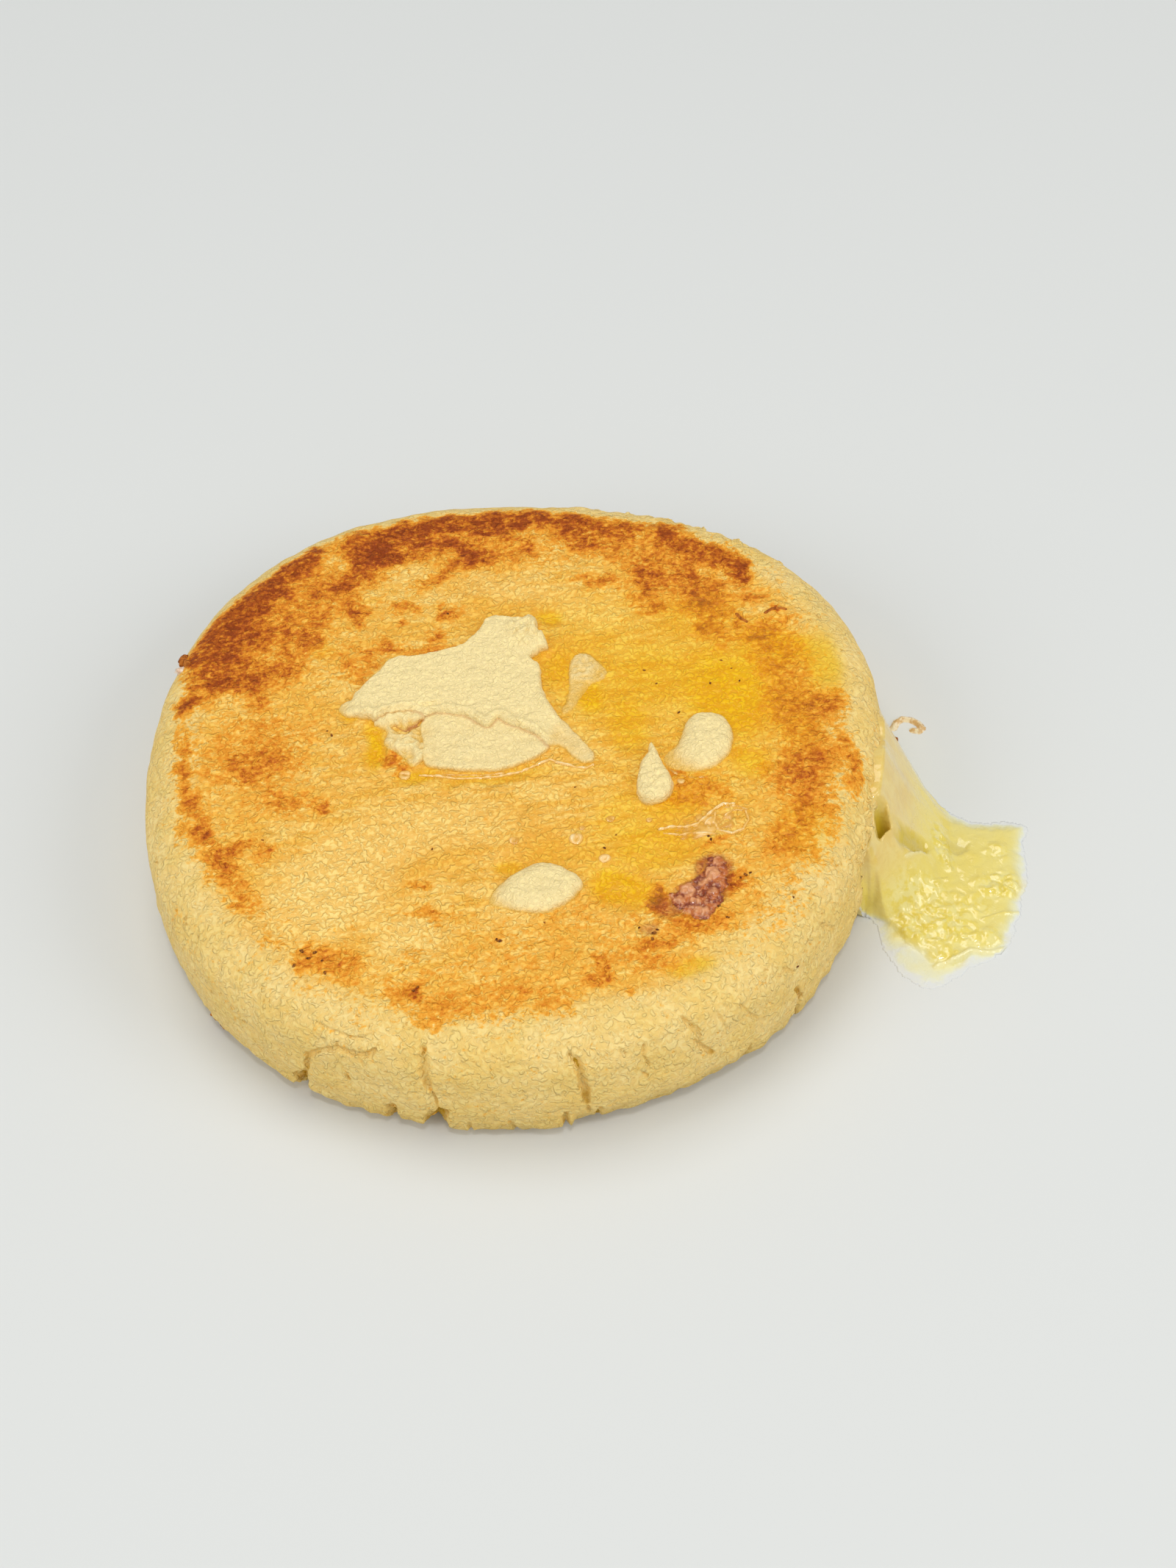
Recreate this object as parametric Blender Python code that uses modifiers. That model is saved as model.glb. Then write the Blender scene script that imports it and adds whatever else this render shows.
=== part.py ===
"""A griddled corn cake (arepa) filled with cheese, with butter melting on its top face.

The cake stands on z = 0 with the origin at the middle of its underside. +X is where the cheese leaks
out, +Y the side whose rim is toasted darkest, +Z up. All sizes are in metres.
"""

import math

import bmesh
import bpy
from mathutils import Matrix, Vector, noise

MM = 0.001
DEG = math.pi / 180

# The cake: a patted disc with a flat griddled face, a round shoulder and a foot that curls under.
RADIUS = 53.9 * MM
HEIGHT = 19.0 * MM
SHOULDER_WIDTH = 6.9 * MM
SHOULDER_DROP = 6.2 * MM
FOOT_WIDTH = 5.0 * MM
FOOT_RISE = 4.6 * MM
WALL_BULGE = 0.35 * MM
CAKE_STEPS = 96
# Shares of the face's radius at which its mesh has rings, and how high the wall bulges most.
FACE_RINGS = (0.4, 0.75, 0.93, 1.0)
BULGE_LEVEL = 0.45
SHOULDER_STEPS = 5
FOOT_STEPS = 3
MERGE_DISTANCE = 0.01 * MM
# The hand-patted outline: (waves round the cake, their height, azimuth phase in degrees).
OUTLINE_WAVES = ((2, 0.4 * MM, 190), (3, 1.1 * MM, 56), (4, 1.0 * MM, 127))
TOP_UNEVENNESS = 0.3 * MM
TOP_LUMP = 14.0 * MM

# How the soft pieces are pressed out of a ball: the share of the reach that counts as the rim, the rim's
# share of the thickness, and how blunt the edges of slab, drape, pool and butter are (lower is blunter).
RIM_SHARE = 0.999
EDGE_HEIGHT = 0.3
LIFT_POWER = 0.3
POOL_POWER = 0.5
BUTTER_POWER = 0.4
SHARP_ANGLE = 40 * DEG
CHEESE_UNEVENNESS = 0.2
CHEESE_LUMP = 7.0 * MM
BUTTER_UNEVENNESS = 0.25
BUTTER_LUMP = 3.0 * MM

# Splits in the wall: (azimuth, bottom, top, width, depth, lean), in degrees and millimetres. Each narrows
# to this share of its width at the top.
SPLIT_TAPER = 0.35
WALL_SPLITS = (
    (-127.5, -1.0, 8.0, 1.8, 2.2, 6),
    (-113.0, -1.0, 4.5, 1.8, 1.8, -8),
    (-106.0, -1.5, 9.0, 3.0, 2.8, 6),
    (-107.0, 6.0, 16.5, 1.5, 1.8, 2),
    (-86.6, -1.5, 14.5, 1.7, 2.0, 1),
    (-76.0, 12.0, 17.0, 1.0, 1.2, 0),
    (-68.8, 8.5, 17.0, 1.3, 1.5, -3),
    (-51.5, -1.0, 6.0, 1.6, 1.6, -10),
)

# The cheese: a slab through the middle of the cake, which swells where it bursts out of the side.
CLEARANCE = 0.3 * MM
SLAB_RADIUS = 41.0 * MM
SLAB_HALF = 3.0 * MM
SLAB_MIDDLE = 9.2 * MM
MOUTH_AZIMUTH = -17.0
MOUTH_HALF_ANGLE = 25.0
MOUTH_HALF_HEIGHT = 6.6 * MM
MOUTH_RAGGEDNESS = 1.4 * MM
MOUTH_TEAR = 3.5
# The hole left between lip and cheese: azimuth, half-angle, extra height.
MOUTH_HOLE = (-24.0, 5.0, 1.0 * MM)
TONGUE_HALF_HEIGHT = 5.6 * MM
TONGUE_REACH = 3.0 * MM
# How far the slab's corners crowd towards the mouth, where its edge shows.
SLAB_CROWDING = 0.6
SLAB_FINENESS = (48, 8)

# The leaked cheese on the plate: a thin pool that rises in a drape to the mouth. Millimetres.
POOL_CENTRE = (56.0, -15.0)
POOL_OUTLINE = (
    (50.0, 6.5), (56.2, 3.6), (58.6, -0.6), (60.8, -4.5), (64.6, -8.6), (68.3, -10.2), (71.3, -10.4),
    (72.3, -14.4), (71.4, -19.0), (70.0, -23.0), (69.0, -26.6), (66.2, -30.2), (62.8, -33.2), (57.8, -35.0),
    (54.2, -38.0), (51.4, -37.2), (49.2, -34.0), (48.2, -30.0), (46.8, -24.6), (43.0, -19.0), (42.0, -4.0),
)
POOL_FINENESS = (56, 16)
POOL_THICKNESS = 0.9 * MM
DRAPE_HEIGHT = 12.3 * MM
DRAPE_REACH = 10.0 * MM
DRAPE_AZIMUTH = -15.0
DRAPE_HALF_ANGLE = 27.0

# Butter laid on the griddled face. Each pat has a thickness, lumps (x, y, radius, height), the centre and
# the corners of its outline seen from above, all in millimetres, and its fineness as (steps, rows).
BUTTER = {
    "butter_sheet": dict(
        thickness=1.2, lumps=((5.2, 20.6, 4.6, 1.5), (-2.0, 9.0, 9.0, 0.5)),
        centre=(-4.0, 12.0), fineness=(56, 8),
        outline=((-24.6, 9.4), (-20.8, 12.4), (-14.8, 18.2), (-9.5, 18.0), (-5.2, 18.8), (-0.4, 24.0),
                 (2.4, 23.4), (5.2, 23.6), (7.6, 19.4), (6.6, 15.0), (6.3, 8.0), (7.4, 3.6), (11.4, -5.2),
                 (7.2, -2.2), (4.6, 0.4), (2.0, 1.6), (-0.8, 4.0), (-2.4, 2.8), (-4.6, 4.2), (-6.4, 5.6),
                 (-10.8, 6.4), (-14.5, 7.1), (-18.0, 7.3), (-21.9, 8.0))),
    "butter_leaf": dict(
        thickness=1.0, lumps=(), centre=(-4.0, -0.8), fineness=(36, 6),
        outline=((-12.6, 3.0), (-10.6, 5.4), (-6.6, 4.7), (-4.8, 3.3), (-2.4, 2.0), (-0.8, 3.0), (1.8, 0.7),
                 (3.8, -0.9), (5.6, -2.5), (2.1, -4.5), (-2.4, -5.3), (-6.9, -4.8), (-10.5, -3.6),
                 (-12.5, -1.5))),
    "butter_crumple": dict(
        thickness=1.0, lumps=((-15.4, 4.0, 2.5, 0.8), (-15.2, -1.0, 2.2, 0.7), (-15.0, -4.0, 1.4, 0.5)),
        centre=(-15.3, 0.8), fineness=(28, 6),
        outline=((-17.6, 6.0), (-15.2, 5.9), (-13.6, 4.4), (-13.2, 0.4), (-13.4, -2.6), (-14.2, -5.2),
                 (-15.8, -5.2), (-16.6, -3.4), (-17.9, -1.2), (-17.3, 0.6), (-16.8, 2.2), (-17.8, 4.2))),
    "butter_strand": dict(
        thickness=0.9, lumps=((12.6, 13.0, 2.2, 0.5),), centre=(11.2, 10.4), fineness=(28, 6),
        outline=((11.0, 14.5), (12.7, 15.2), (14.1, 12.8), (15.3, 11.1), (14.7, 9.8), (12.9, 9.5),
                 (11.3, 7.1), (10.0, 4.8), (9.0, 4.6), (9.3, 7.4), (9.8, 10.4))),
    "butter_round": dict(
        thickness=1.5, lumps=(), centre=(27.2, -5.0), fineness=(28, 6),
        outline=((24.8, -2.6), (27.5, -0.2), (29.8, -0.5), (31.1, -3.0), (30.9, -5.8), (29.3, -8.4),
                 (26.9, -10.2), (24.8, -9.4), (22.2, -7.1), (23.6, -5.0))),
    "butter_drop": dict(
        thickness=1.5, lumps=((19.6, -11.8, 2.2, 0.4),), centre=(19.5, -11.0), fineness=(28, 6),
        outline=((19.8, -4.4), (20.5, -5.8), (21.0, -8.4), (21.9, -11.3), (21.3, -13.6), (19.7, -14.4),
                 (18.1, -14.7), (16.9, -13.6), (17.1, -10.9), (17.8, -7.9), (18.9, -6.0))),
    "butter_oval": dict(
        thickness=1.8, lumps=(), centre=(2.6, -27.4), fineness=(32, 6),
        outline=((-5.2, -28.3), (-2.4, -26.0), (1.2, -24.2), (5.2, -24.5), (8.2, -27.0), (7.0, -29.9),
                 (3.0, -31.4), (-1.6, -30.7))),
}

# Colours (linear), roughness.
CAKE_COLOUR = ((0.70, 0.45, 0.13), 0.62)
CHEESE_COLOUR = ((0.74, 0.62, 0.18), 0.28)
BUTTER_COLOUR = ((0.86, 0.70, 0.33), 0.42)


def bell(distance, width):
    """1 at the middle, 0 from width on, smooth in between."""
    share = min(abs(distance) / width, 1.0)
    return (1.0 - share * share) ** 2


def turn_between(azimuth, middle):
    """The signed angle in degrees from middle to azimuth."""
    return (azimuth - middle + 180.0) % 360.0 - 180.0


def outline_wave(azimuth):
    """How far the hand-patted outline stands out of its circle at an azimuth in degrees."""
    return sum(height * math.cos((waves * azimuth - phase) * DEG) for waves, height, phase in OUTLINE_WAVES)


def material(name, colour, roughness):
    made = bpy.data.materials.new(name)
    made.use_nodes = True
    shader = made.node_tree.nodes["Principled BSDF"]
    shader.inputs["Base Color"].default_value = (*colour, 1.0)
    shader.inputs["Roughness"].default_value = roughness
    shader.inputs["Metallic"].default_value = 0.0
    return made


def new_object(name, mesh, collection, surface=None):
    made = bpy.data.objects.new(name, mesh)
    collection.objects.link(made)
    if surface is None:
        made.display_type = "WIRE"
        made.hide_render = True
    else:
        mesh.materials.append(surface)
    return made


def combine(target, other, operation):
    """A live Boolean on target with another object."""
    joint = target.modifiers.new(f"{operation.lower()} {other.name}", "BOOLEAN")
    joint.operation = operation
    joint.solver = "EXACT"
    joint.object = other


def applied_mesh(made):
    """The mesh of an object with its modifiers applied."""
    graph = bpy.context.evaluated_depsgraph_get()
    return bpy.data.meshes.new_from_object(made.evaluated_get(graph))


def arc(centre, radii, start, end, steps):
    """Points of a quarter ellipse in the profile's plane, its first point left out."""
    for step in range(1, steps + 1):
        angle = (start + (end - start) * step / steps) * DEG
        yield centre[0] + radii[0] * math.cos(angle), centre[1] + radii[1] * math.sin(angle)


def cake_profile(grow, foot_width):
    """Radius and height from the top's middle down the side to the underside's middle."""
    edge = RADIUS + grow
    top = HEIGHT + grow
    facet = RADIUS - SHOULDER_WIDTH
    points = [(0.0, top)]
    points += [(facet * share, top) for share in FACE_RINGS]
    points += arc((facet, top - SHOULDER_DROP), (edge - facet, SHOULDER_DROP), 90, 0, SHOULDER_STEPS)
    points.append((edge + WALL_BULGE, HEIGHT * BULGE_LEVEL))
    if foot_width:
        points.append((edge, FOOT_RISE))
        points += arc((edge - foot_width, FOOT_RISE), (foot_width, FOOT_RISE + grow), 0, -90, FOOT_STEPS)
    else:
        points.append((edge, -grow))
    points.append((0.0, -grow))
    return points


def cake_form(name, collection, grow=0.0, foot_width=FOOT_WIDTH, surface=None):
    """The whole disc: a turned profile, pushed out of round and made uneven by hand."""
    profile = bpy.data.meshes.new(name + "_profile")
    points = [(radius, 0.0, height) for radius, height in cake_profile(grow, foot_width)]
    profile.from_pydata(points, [(at, at + 1) for at in range(len(points) - 1)], [])
    turned = new_object(name + "_profile", profile, collection)
    screw = turned.modifiers.new("turn", "SCREW")
    screw.steps = CAKE_STEPS
    screw.render_steps = CAKE_STEPS
    screw.use_merge_vertices = True
    screw.merge_threshold = MERGE_DISTANCE
    bpy.context.view_layer.update()
    mesh = applied_mesh(turned)
    bpy.data.objects.remove(turned)
    for vertex in mesh.vertices:
        place = vertex.co
        azimuth = math.degrees(math.atan2(place.y, place.x))
        out_of_round = 1.0 + outline_wave(azimuth) / RADIUS
        up = max(place.z / HEIGHT - 0.5, 0.0)
        lump = noise.noise(Vector((place.x, place.y, 0.0)) / TOP_LUMP) * TOP_UNEVENNESS * up
        vertex.co = (place.x * out_of_round, place.y * out_of_round, place.z + lump)
    return new_object(name, mesh, collection, surface)


def wall_split(number, split, collection):
    """A long four-sided spike that opens a V in the wall."""
    azimuth, bottom, top, width, depth, lean = split
    shape = bmesh.new()
    bmesh.ops.create_cone(shape, cap_ends=True, segments=4, radius1=1.0, radius2=SPLIT_TAPER, depth=1.0)
    length = (top - bottom) * MM
    wall = RADIUS + outline_wave(azimuth)
    placed = (
        Matrix.Rotation(azimuth * DEG, 4, "Z")
        @ Matrix.Translation((wall, 0.0, bottom * MM + length / 2))
        @ Matrix.Rotation(lean * DEG, 4, "X")
        @ Matrix.Diagonal((depth * MM, width * MM / 2, length, 1.0))
    )
    bmesh.ops.transform(shape, matrix=placed, verts=shape.verts)
    mesh = bpy.data.meshes.new(f"cut_split_{number}")
    shape.to_mesh(mesh)
    shape.free()
    return new_object(mesh.name, mesh, collection)


def mouth_tear(azimuth):
    """How much higher the torn mouth stands open at an azimuth, in metres."""
    middle, half_angle, extra = MOUTH_HOLE
    ragged = MOUTH_RAGGEDNESS * noise.noise(Vector((azimuth / MOUTH_TEAR, 0.0, 0.0)))
    return ragged + extra * bell(turn_between(azimuth, middle), half_angle)


def slab(name, collection, mouth_half, grow=0.0, torn=False):
    """The cheese inside: a flattened ball whose front swells into a tongue through the wall."""
    shape = bmesh.new()
    bmesh.ops.create_uvsphere(shape, u_segments=SLAB_FINENESS[0], v_segments=SLAB_FINENESS[1], radius=1.0)
    for vertex in shape.verts:
        turn = math.atan2(vertex.co.y, vertex.co.x)
        azimuth = MOUTH_AZIMUTH + (turn - SLAB_CROWDING * math.sin(turn)) / DEG
        share = math.hypot(vertex.co.x, vertex.co.y)
        mouth = bell(turn_between(azimuth, MOUTH_AZIMUTH), MOUTH_HALF_ANGLE) ** 0.5
        reach = SLAB_RADIUS + (RADIUS + outline_wave(azimuth) + TONGUE_REACH - SLAB_RADIUS) * mouth + grow
        half = SLAB_HALF + (mouth_half - SLAB_HALF) * mouth * share ** 3 + grow
        if torn and vertex.co.z > 0.0:
            half += mouth_tear(azimuth) * mouth * share
        lift = math.copysign(abs(round(vertex.co.z, 6)) ** LIFT_POWER, vertex.co.z)
        vertex.co = (
            reach * share * math.cos(azimuth * DEG),
            reach * share * math.sin(azimuth * DEG),
            SLAB_MIDDLE + half * lift,
        )
    mesh = bpy.data.meshes.new(name)
    shape.to_mesh(mesh)
    shape.free()
    return new_object(name, mesh, collection)


def reach_to(outline, centre, azimuth):
    """How far a closed outline of corners lies from its centre at an azimuth, as a smooth curve."""
    polar = sorted(
        (math.degrees(math.atan2(y - centre[1], x - centre[0])), math.hypot(x - centre[0], y - centre[1]))
        for x, y in outline
    )
    count = len(polar)
    after = next((at for at, corner in enumerate(polar) if corner[0] > azimuth), count)
    corners = []
    for step in (-2, -1, 0, 1):
        turns, at = divmod(after + step, count)
        corners.append((polar[at][0] + 360.0 * turns, polar[at][1]))
    before, start, end, beyond = corners
    span = end[0] - start[0]
    share = (azimuth - start[0]) / span
    slope_in = (end[1] - before[1]) / (end[0] - before[0]) * span
    slope_out = (beyond[1] - start[1]) / (beyond[0] - start[0]) * span
    return (
        (2 * share ** 3 - 3 * share ** 2 + 1) * start[1]
        + (share ** 3 - 2 * share ** 2 + share) * slope_in
        + (3 * share ** 2 - 2 * share ** 3) * end[1]
        + (share ** 3 - share ** 2) * slope_out
    )


def pat(name, collection, surface, centre, outline, fineness, heights):
    """A soft flat piece: a ball pressed out to an outline, with its height above and below by function."""
    shape = bmesh.new()
    bmesh.ops.create_uvsphere(shape, u_segments=fineness[0], v_segments=fineness[1], radius=1.0)
    for vertex in shape.verts:
        azimuth = math.degrees(math.atan2(vertex.co.y, vertex.co.x))
        share = math.hypot(vertex.co.x, vertex.co.y)
        reach = reach_to(outline, centre, azimuth) * MM * share
        x = centre[0] * MM + reach * math.cos(azimuth * DEG)
        y = centre[1] * MM + reach * math.sin(azimuth * DEG)
        vertex.co = (x, y, heights(x, y, share, vertex.co.z))
    mesh = bpy.data.meshes.new(name)
    shape.to_mesh(mesh)
    shape.free()
    return new_object(name, mesh, collection, surface)


def pool_height(x, y, share, up):
    """The leaked cheese: flat below, a thin pool above that climbs to the mouth."""
    if up <= 0.0:
        return 0.0 if share < RIM_SHARE else POOL_THICKNESS * EDGE_HEIGHT
    azimuth = math.degrees(math.atan2(y, x))
    beyond = max(math.hypot(x, y) - RADIUS - outline_wave(azimuth), 0.0)
    climb = bell(beyond, DRAPE_REACH) * bell(turn_between(azimuth, DRAPE_AZIMUTH), DRAPE_HALF_ANGLE) ** 0.5
    swell = 1.0 + CHEESE_UNEVENNESS * noise.noise(Vector((x, y, 0.0)) / CHEESE_LUMP)
    pool = POOL_THICKNESS * (EDGE_HEIGHT + (1.0 - EDGE_HEIGHT) * up ** POOL_POWER)
    return (pool + DRAPE_HEIGHT * climb * up ** LIFT_POWER) * swell


def butter_height(thickness, lumps):
    """The height of a butter pat above z = 0, for its thickness and lumps."""
    floor = HEIGHT + TOP_UNEVENNESS / 2 + CLEARANCE

    def height(x, y, share, up):
        if up <= 0.0:
            return floor if share < RIM_SHARE else floor + thickness * EDGE_HEIGHT
        raised = 0.0
        for lump_x, lump_y, radius, tall in lumps:
            raised += tall * bell(math.hypot(x / MM - lump_x, y / MM - lump_y), radius)
        swell = 1.0 + BUTTER_UNEVENNESS * noise.noise(Vector((x, y, 0.0)) / BUTTER_LUMP)
        share_of_full = EDGE_HEIGHT + (1.0 - EDGE_HEIGHT) * up ** BUTTER_POWER
        return floor + (thickness + raised * MM) * share_of_full * swell

    return height


def clear_scene():
    for left in list(bpy.data.objects):
        bpy.data.objects.remove(left)


def main():
    clear_scene()
    parts = bpy.data.collections.new("arepa")
    cutters = bpy.data.collections.new("cutters")
    bpy.context.scene.collection.children.link(parts)
    bpy.context.scene.collection.children.link(cutters)

    cake = cake_form("arepa_cake", parts, surface=material("griddled masa", *CAKE_COLOUR))
    combine(cake, slab("cut_pocket", cutters, MOUTH_HALF_HEIGHT, grow=CLEARANCE, torn=True), "DIFFERENCE")
    for number, split in enumerate(WALL_SPLITS):
        combine(cake, wall_split(number, split, cutters), "DIFFERENCE")

    melted = material("melted cheese", *CHEESE_COLOUR)
    cheese = pat("cheese_filling", parts, melted, POOL_CENTRE, POOL_OUTLINE, POOL_FINENESS, pool_height)
    combine(cheese, cake_form("cut_cake", cutters, grow=CLEARANCE, foot_width=0.0), "DIFFERENCE")
    combine(cheese, slab("join_slab", cutters, TONGUE_HALF_HEIGHT), "UNION")

    soft = material("soft butter", *BUTTER_COLOUR)
    for name, made in BUTTER.items():
        heights = butter_height(made["thickness"] * MM, made["lumps"])
        pat(name, parts, soft, made["centre"], made["outline"], made["fineness"], heights)

    for made in parts.objects:
        made.data.shade_smooth()
        made.data.set_sharp_from_angle(angle=SHARP_ANGLE)


main()
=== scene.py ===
"""The looks of a griddled corn cake (arepa) that leaks melted cheese, with butter melting on its face.

The model's frame: z = 0 is what the cake stands on, +X is where the cheese leaks out, +Y the darkest rim.
Lists of places are in millimetres; everything that is made is in metres.
"""

import math

import bpy
import numpy as np
from mathutils import Matrix, Quaternion, Vector, noise


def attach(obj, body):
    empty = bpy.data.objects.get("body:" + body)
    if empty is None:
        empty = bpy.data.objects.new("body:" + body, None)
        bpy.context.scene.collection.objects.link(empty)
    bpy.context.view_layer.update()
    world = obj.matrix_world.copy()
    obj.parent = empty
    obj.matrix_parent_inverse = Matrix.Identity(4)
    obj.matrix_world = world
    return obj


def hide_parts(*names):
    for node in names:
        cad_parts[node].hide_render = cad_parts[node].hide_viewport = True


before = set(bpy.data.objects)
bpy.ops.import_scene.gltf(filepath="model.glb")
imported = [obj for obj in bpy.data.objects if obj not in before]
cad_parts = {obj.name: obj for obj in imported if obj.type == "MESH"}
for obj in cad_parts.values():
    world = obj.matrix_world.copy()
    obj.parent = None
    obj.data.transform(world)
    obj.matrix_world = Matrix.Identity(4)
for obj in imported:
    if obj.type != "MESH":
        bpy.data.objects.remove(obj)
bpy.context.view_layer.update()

MM = 0.001
DEG = math.pi / 180

# The cake's form, as the frame has it.
RADIUS = 53.9 * MM
HEIGHT = 19.0 * MM
SHOULDER_WIDTH = 6.9 * MM
SHOULDER_DROP = 6.2 * MM
FOOT_WIDTH = 5.0 * MM
FOOT_RISE = 4.6 * MM
WALL_BULGE = 0.35 * MM
BULGE_LEVEL = 0.45 * HEIGHT
SHOULDER_STEPS = 12
FOOT_STEPS = 8
TURN_STEPS = 192
WELD_DISTANCE = 0.01 * MM
OUTLINE_WAVES = ((2, 0.4 * MM, 190), (3, 1.1 * MM, 56), (4, 1.0 * MM, 127))
TOP_UNEVENNESS = 0.3 * MM
TOP_LUMP = 14.0 * MM

# The pocket that the cheese fills, and its torn mouth.
SLAB_RADIUS = 41.3 * MM
SLAB_HALF = 3.3 * MM
SLAB_MIDDLE = 9.2 * MM
MOUTH_AZIMUTH = -17.0
MOUTH_HALF_ANGLE = 25.0
MOUTH_HALF_HEIGHT = 6.6 * MM
MOUTH_RAGGEDNESS = 1.4 * MM
MOUTH_TEAR = 3.5
MOUTH_HOLE = (-20.5, 4.0, 1.0 * MM)
TONGUE_REACH = 3.3 * MM
# How the pocket's ball is shaped: how its segments crowd towards the mouth, how the mouth opens and flares.
POCKET_SEGMENTS = 160
POCKET_RINGS = 24
POCKET_CROWDING = 0.6
MOUTH_OPENING = 0.5
MOUTH_FLARE = 3
SLAB_SQUARENESS = 0.3
# The slab of cheese inside.
CHEESE_RADIUS = 41.0 * MM
CHEESE_HALF = 3.0 * MM
CHEESE_SEGMENTS = 96
CHEESE_RINGS = 16

# How fine the remeshed pieces are.
CRUST_GRAIN = 0.57 * MM
CHEESE_GRAIN = 0.22 * MM
BUTTER_GRAIN = 0.17 * MM
SKIN_GRAIN = 0.12 * MM
MILK_GRAIN = 0.16 * MM
FLAKE_GRAIN = 0.12 * MM
CURL_GRAIN = 0.1 * MM
# How far under the griddled face the pieces on it reach down, unseen.
ROOT_DEPTH = 0.5 * MM
# The least that a film stands above what it lies on.
SLIVER = 0.01 * MM
# A film is cut off where it is thinner than this, and its underside is what faces down more than that.
FILM_CUT = -0.04 * MM
FACING_DOWN = -0.5
# The floor stands this far below the piece, so that the two do not fight for the same place.
FLOOR_GAP = 0.002 * MM

# The camera: where it stands, what it looks at, how far it leans and its lens.
CAMERA_PLACE = (0.0, -0.2299, 0.2720)
CAMERA_TARGET = (0.0110, 0.0067, 0.0)
CAMERA_LEAN = -4.72
CAMERA_LENS = 55.7
CAMERA_NEAR = 0.01

# The floor and the lights round the piece: (name, place, size, power).
FLOOR_SIZE = 6.0
FLOOR_COLOUR = (0.715, 0.725, 0.70, 1)
SKY_COLOUR = (0.95, 0.97, 1.0, 1)
SKY_STRENGTH = 0.40
LIGHTS = (
    ("overhead_light", (-0.1, 0.35, 1.2), 0.7, 4.0),
    ("left_light", (-0.95, -0.45, 0.70), 0.7, 3.8),
    ("right_light", (0.95, -0.50, 0.70), 0.7, 4.9),
    ("front_light", (0.1, -1.0, 0.70), 0.7, 1.2),
    ("glint_light", (0.05, -0.45, 1.15), 0.12, 2.2),
)

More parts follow.
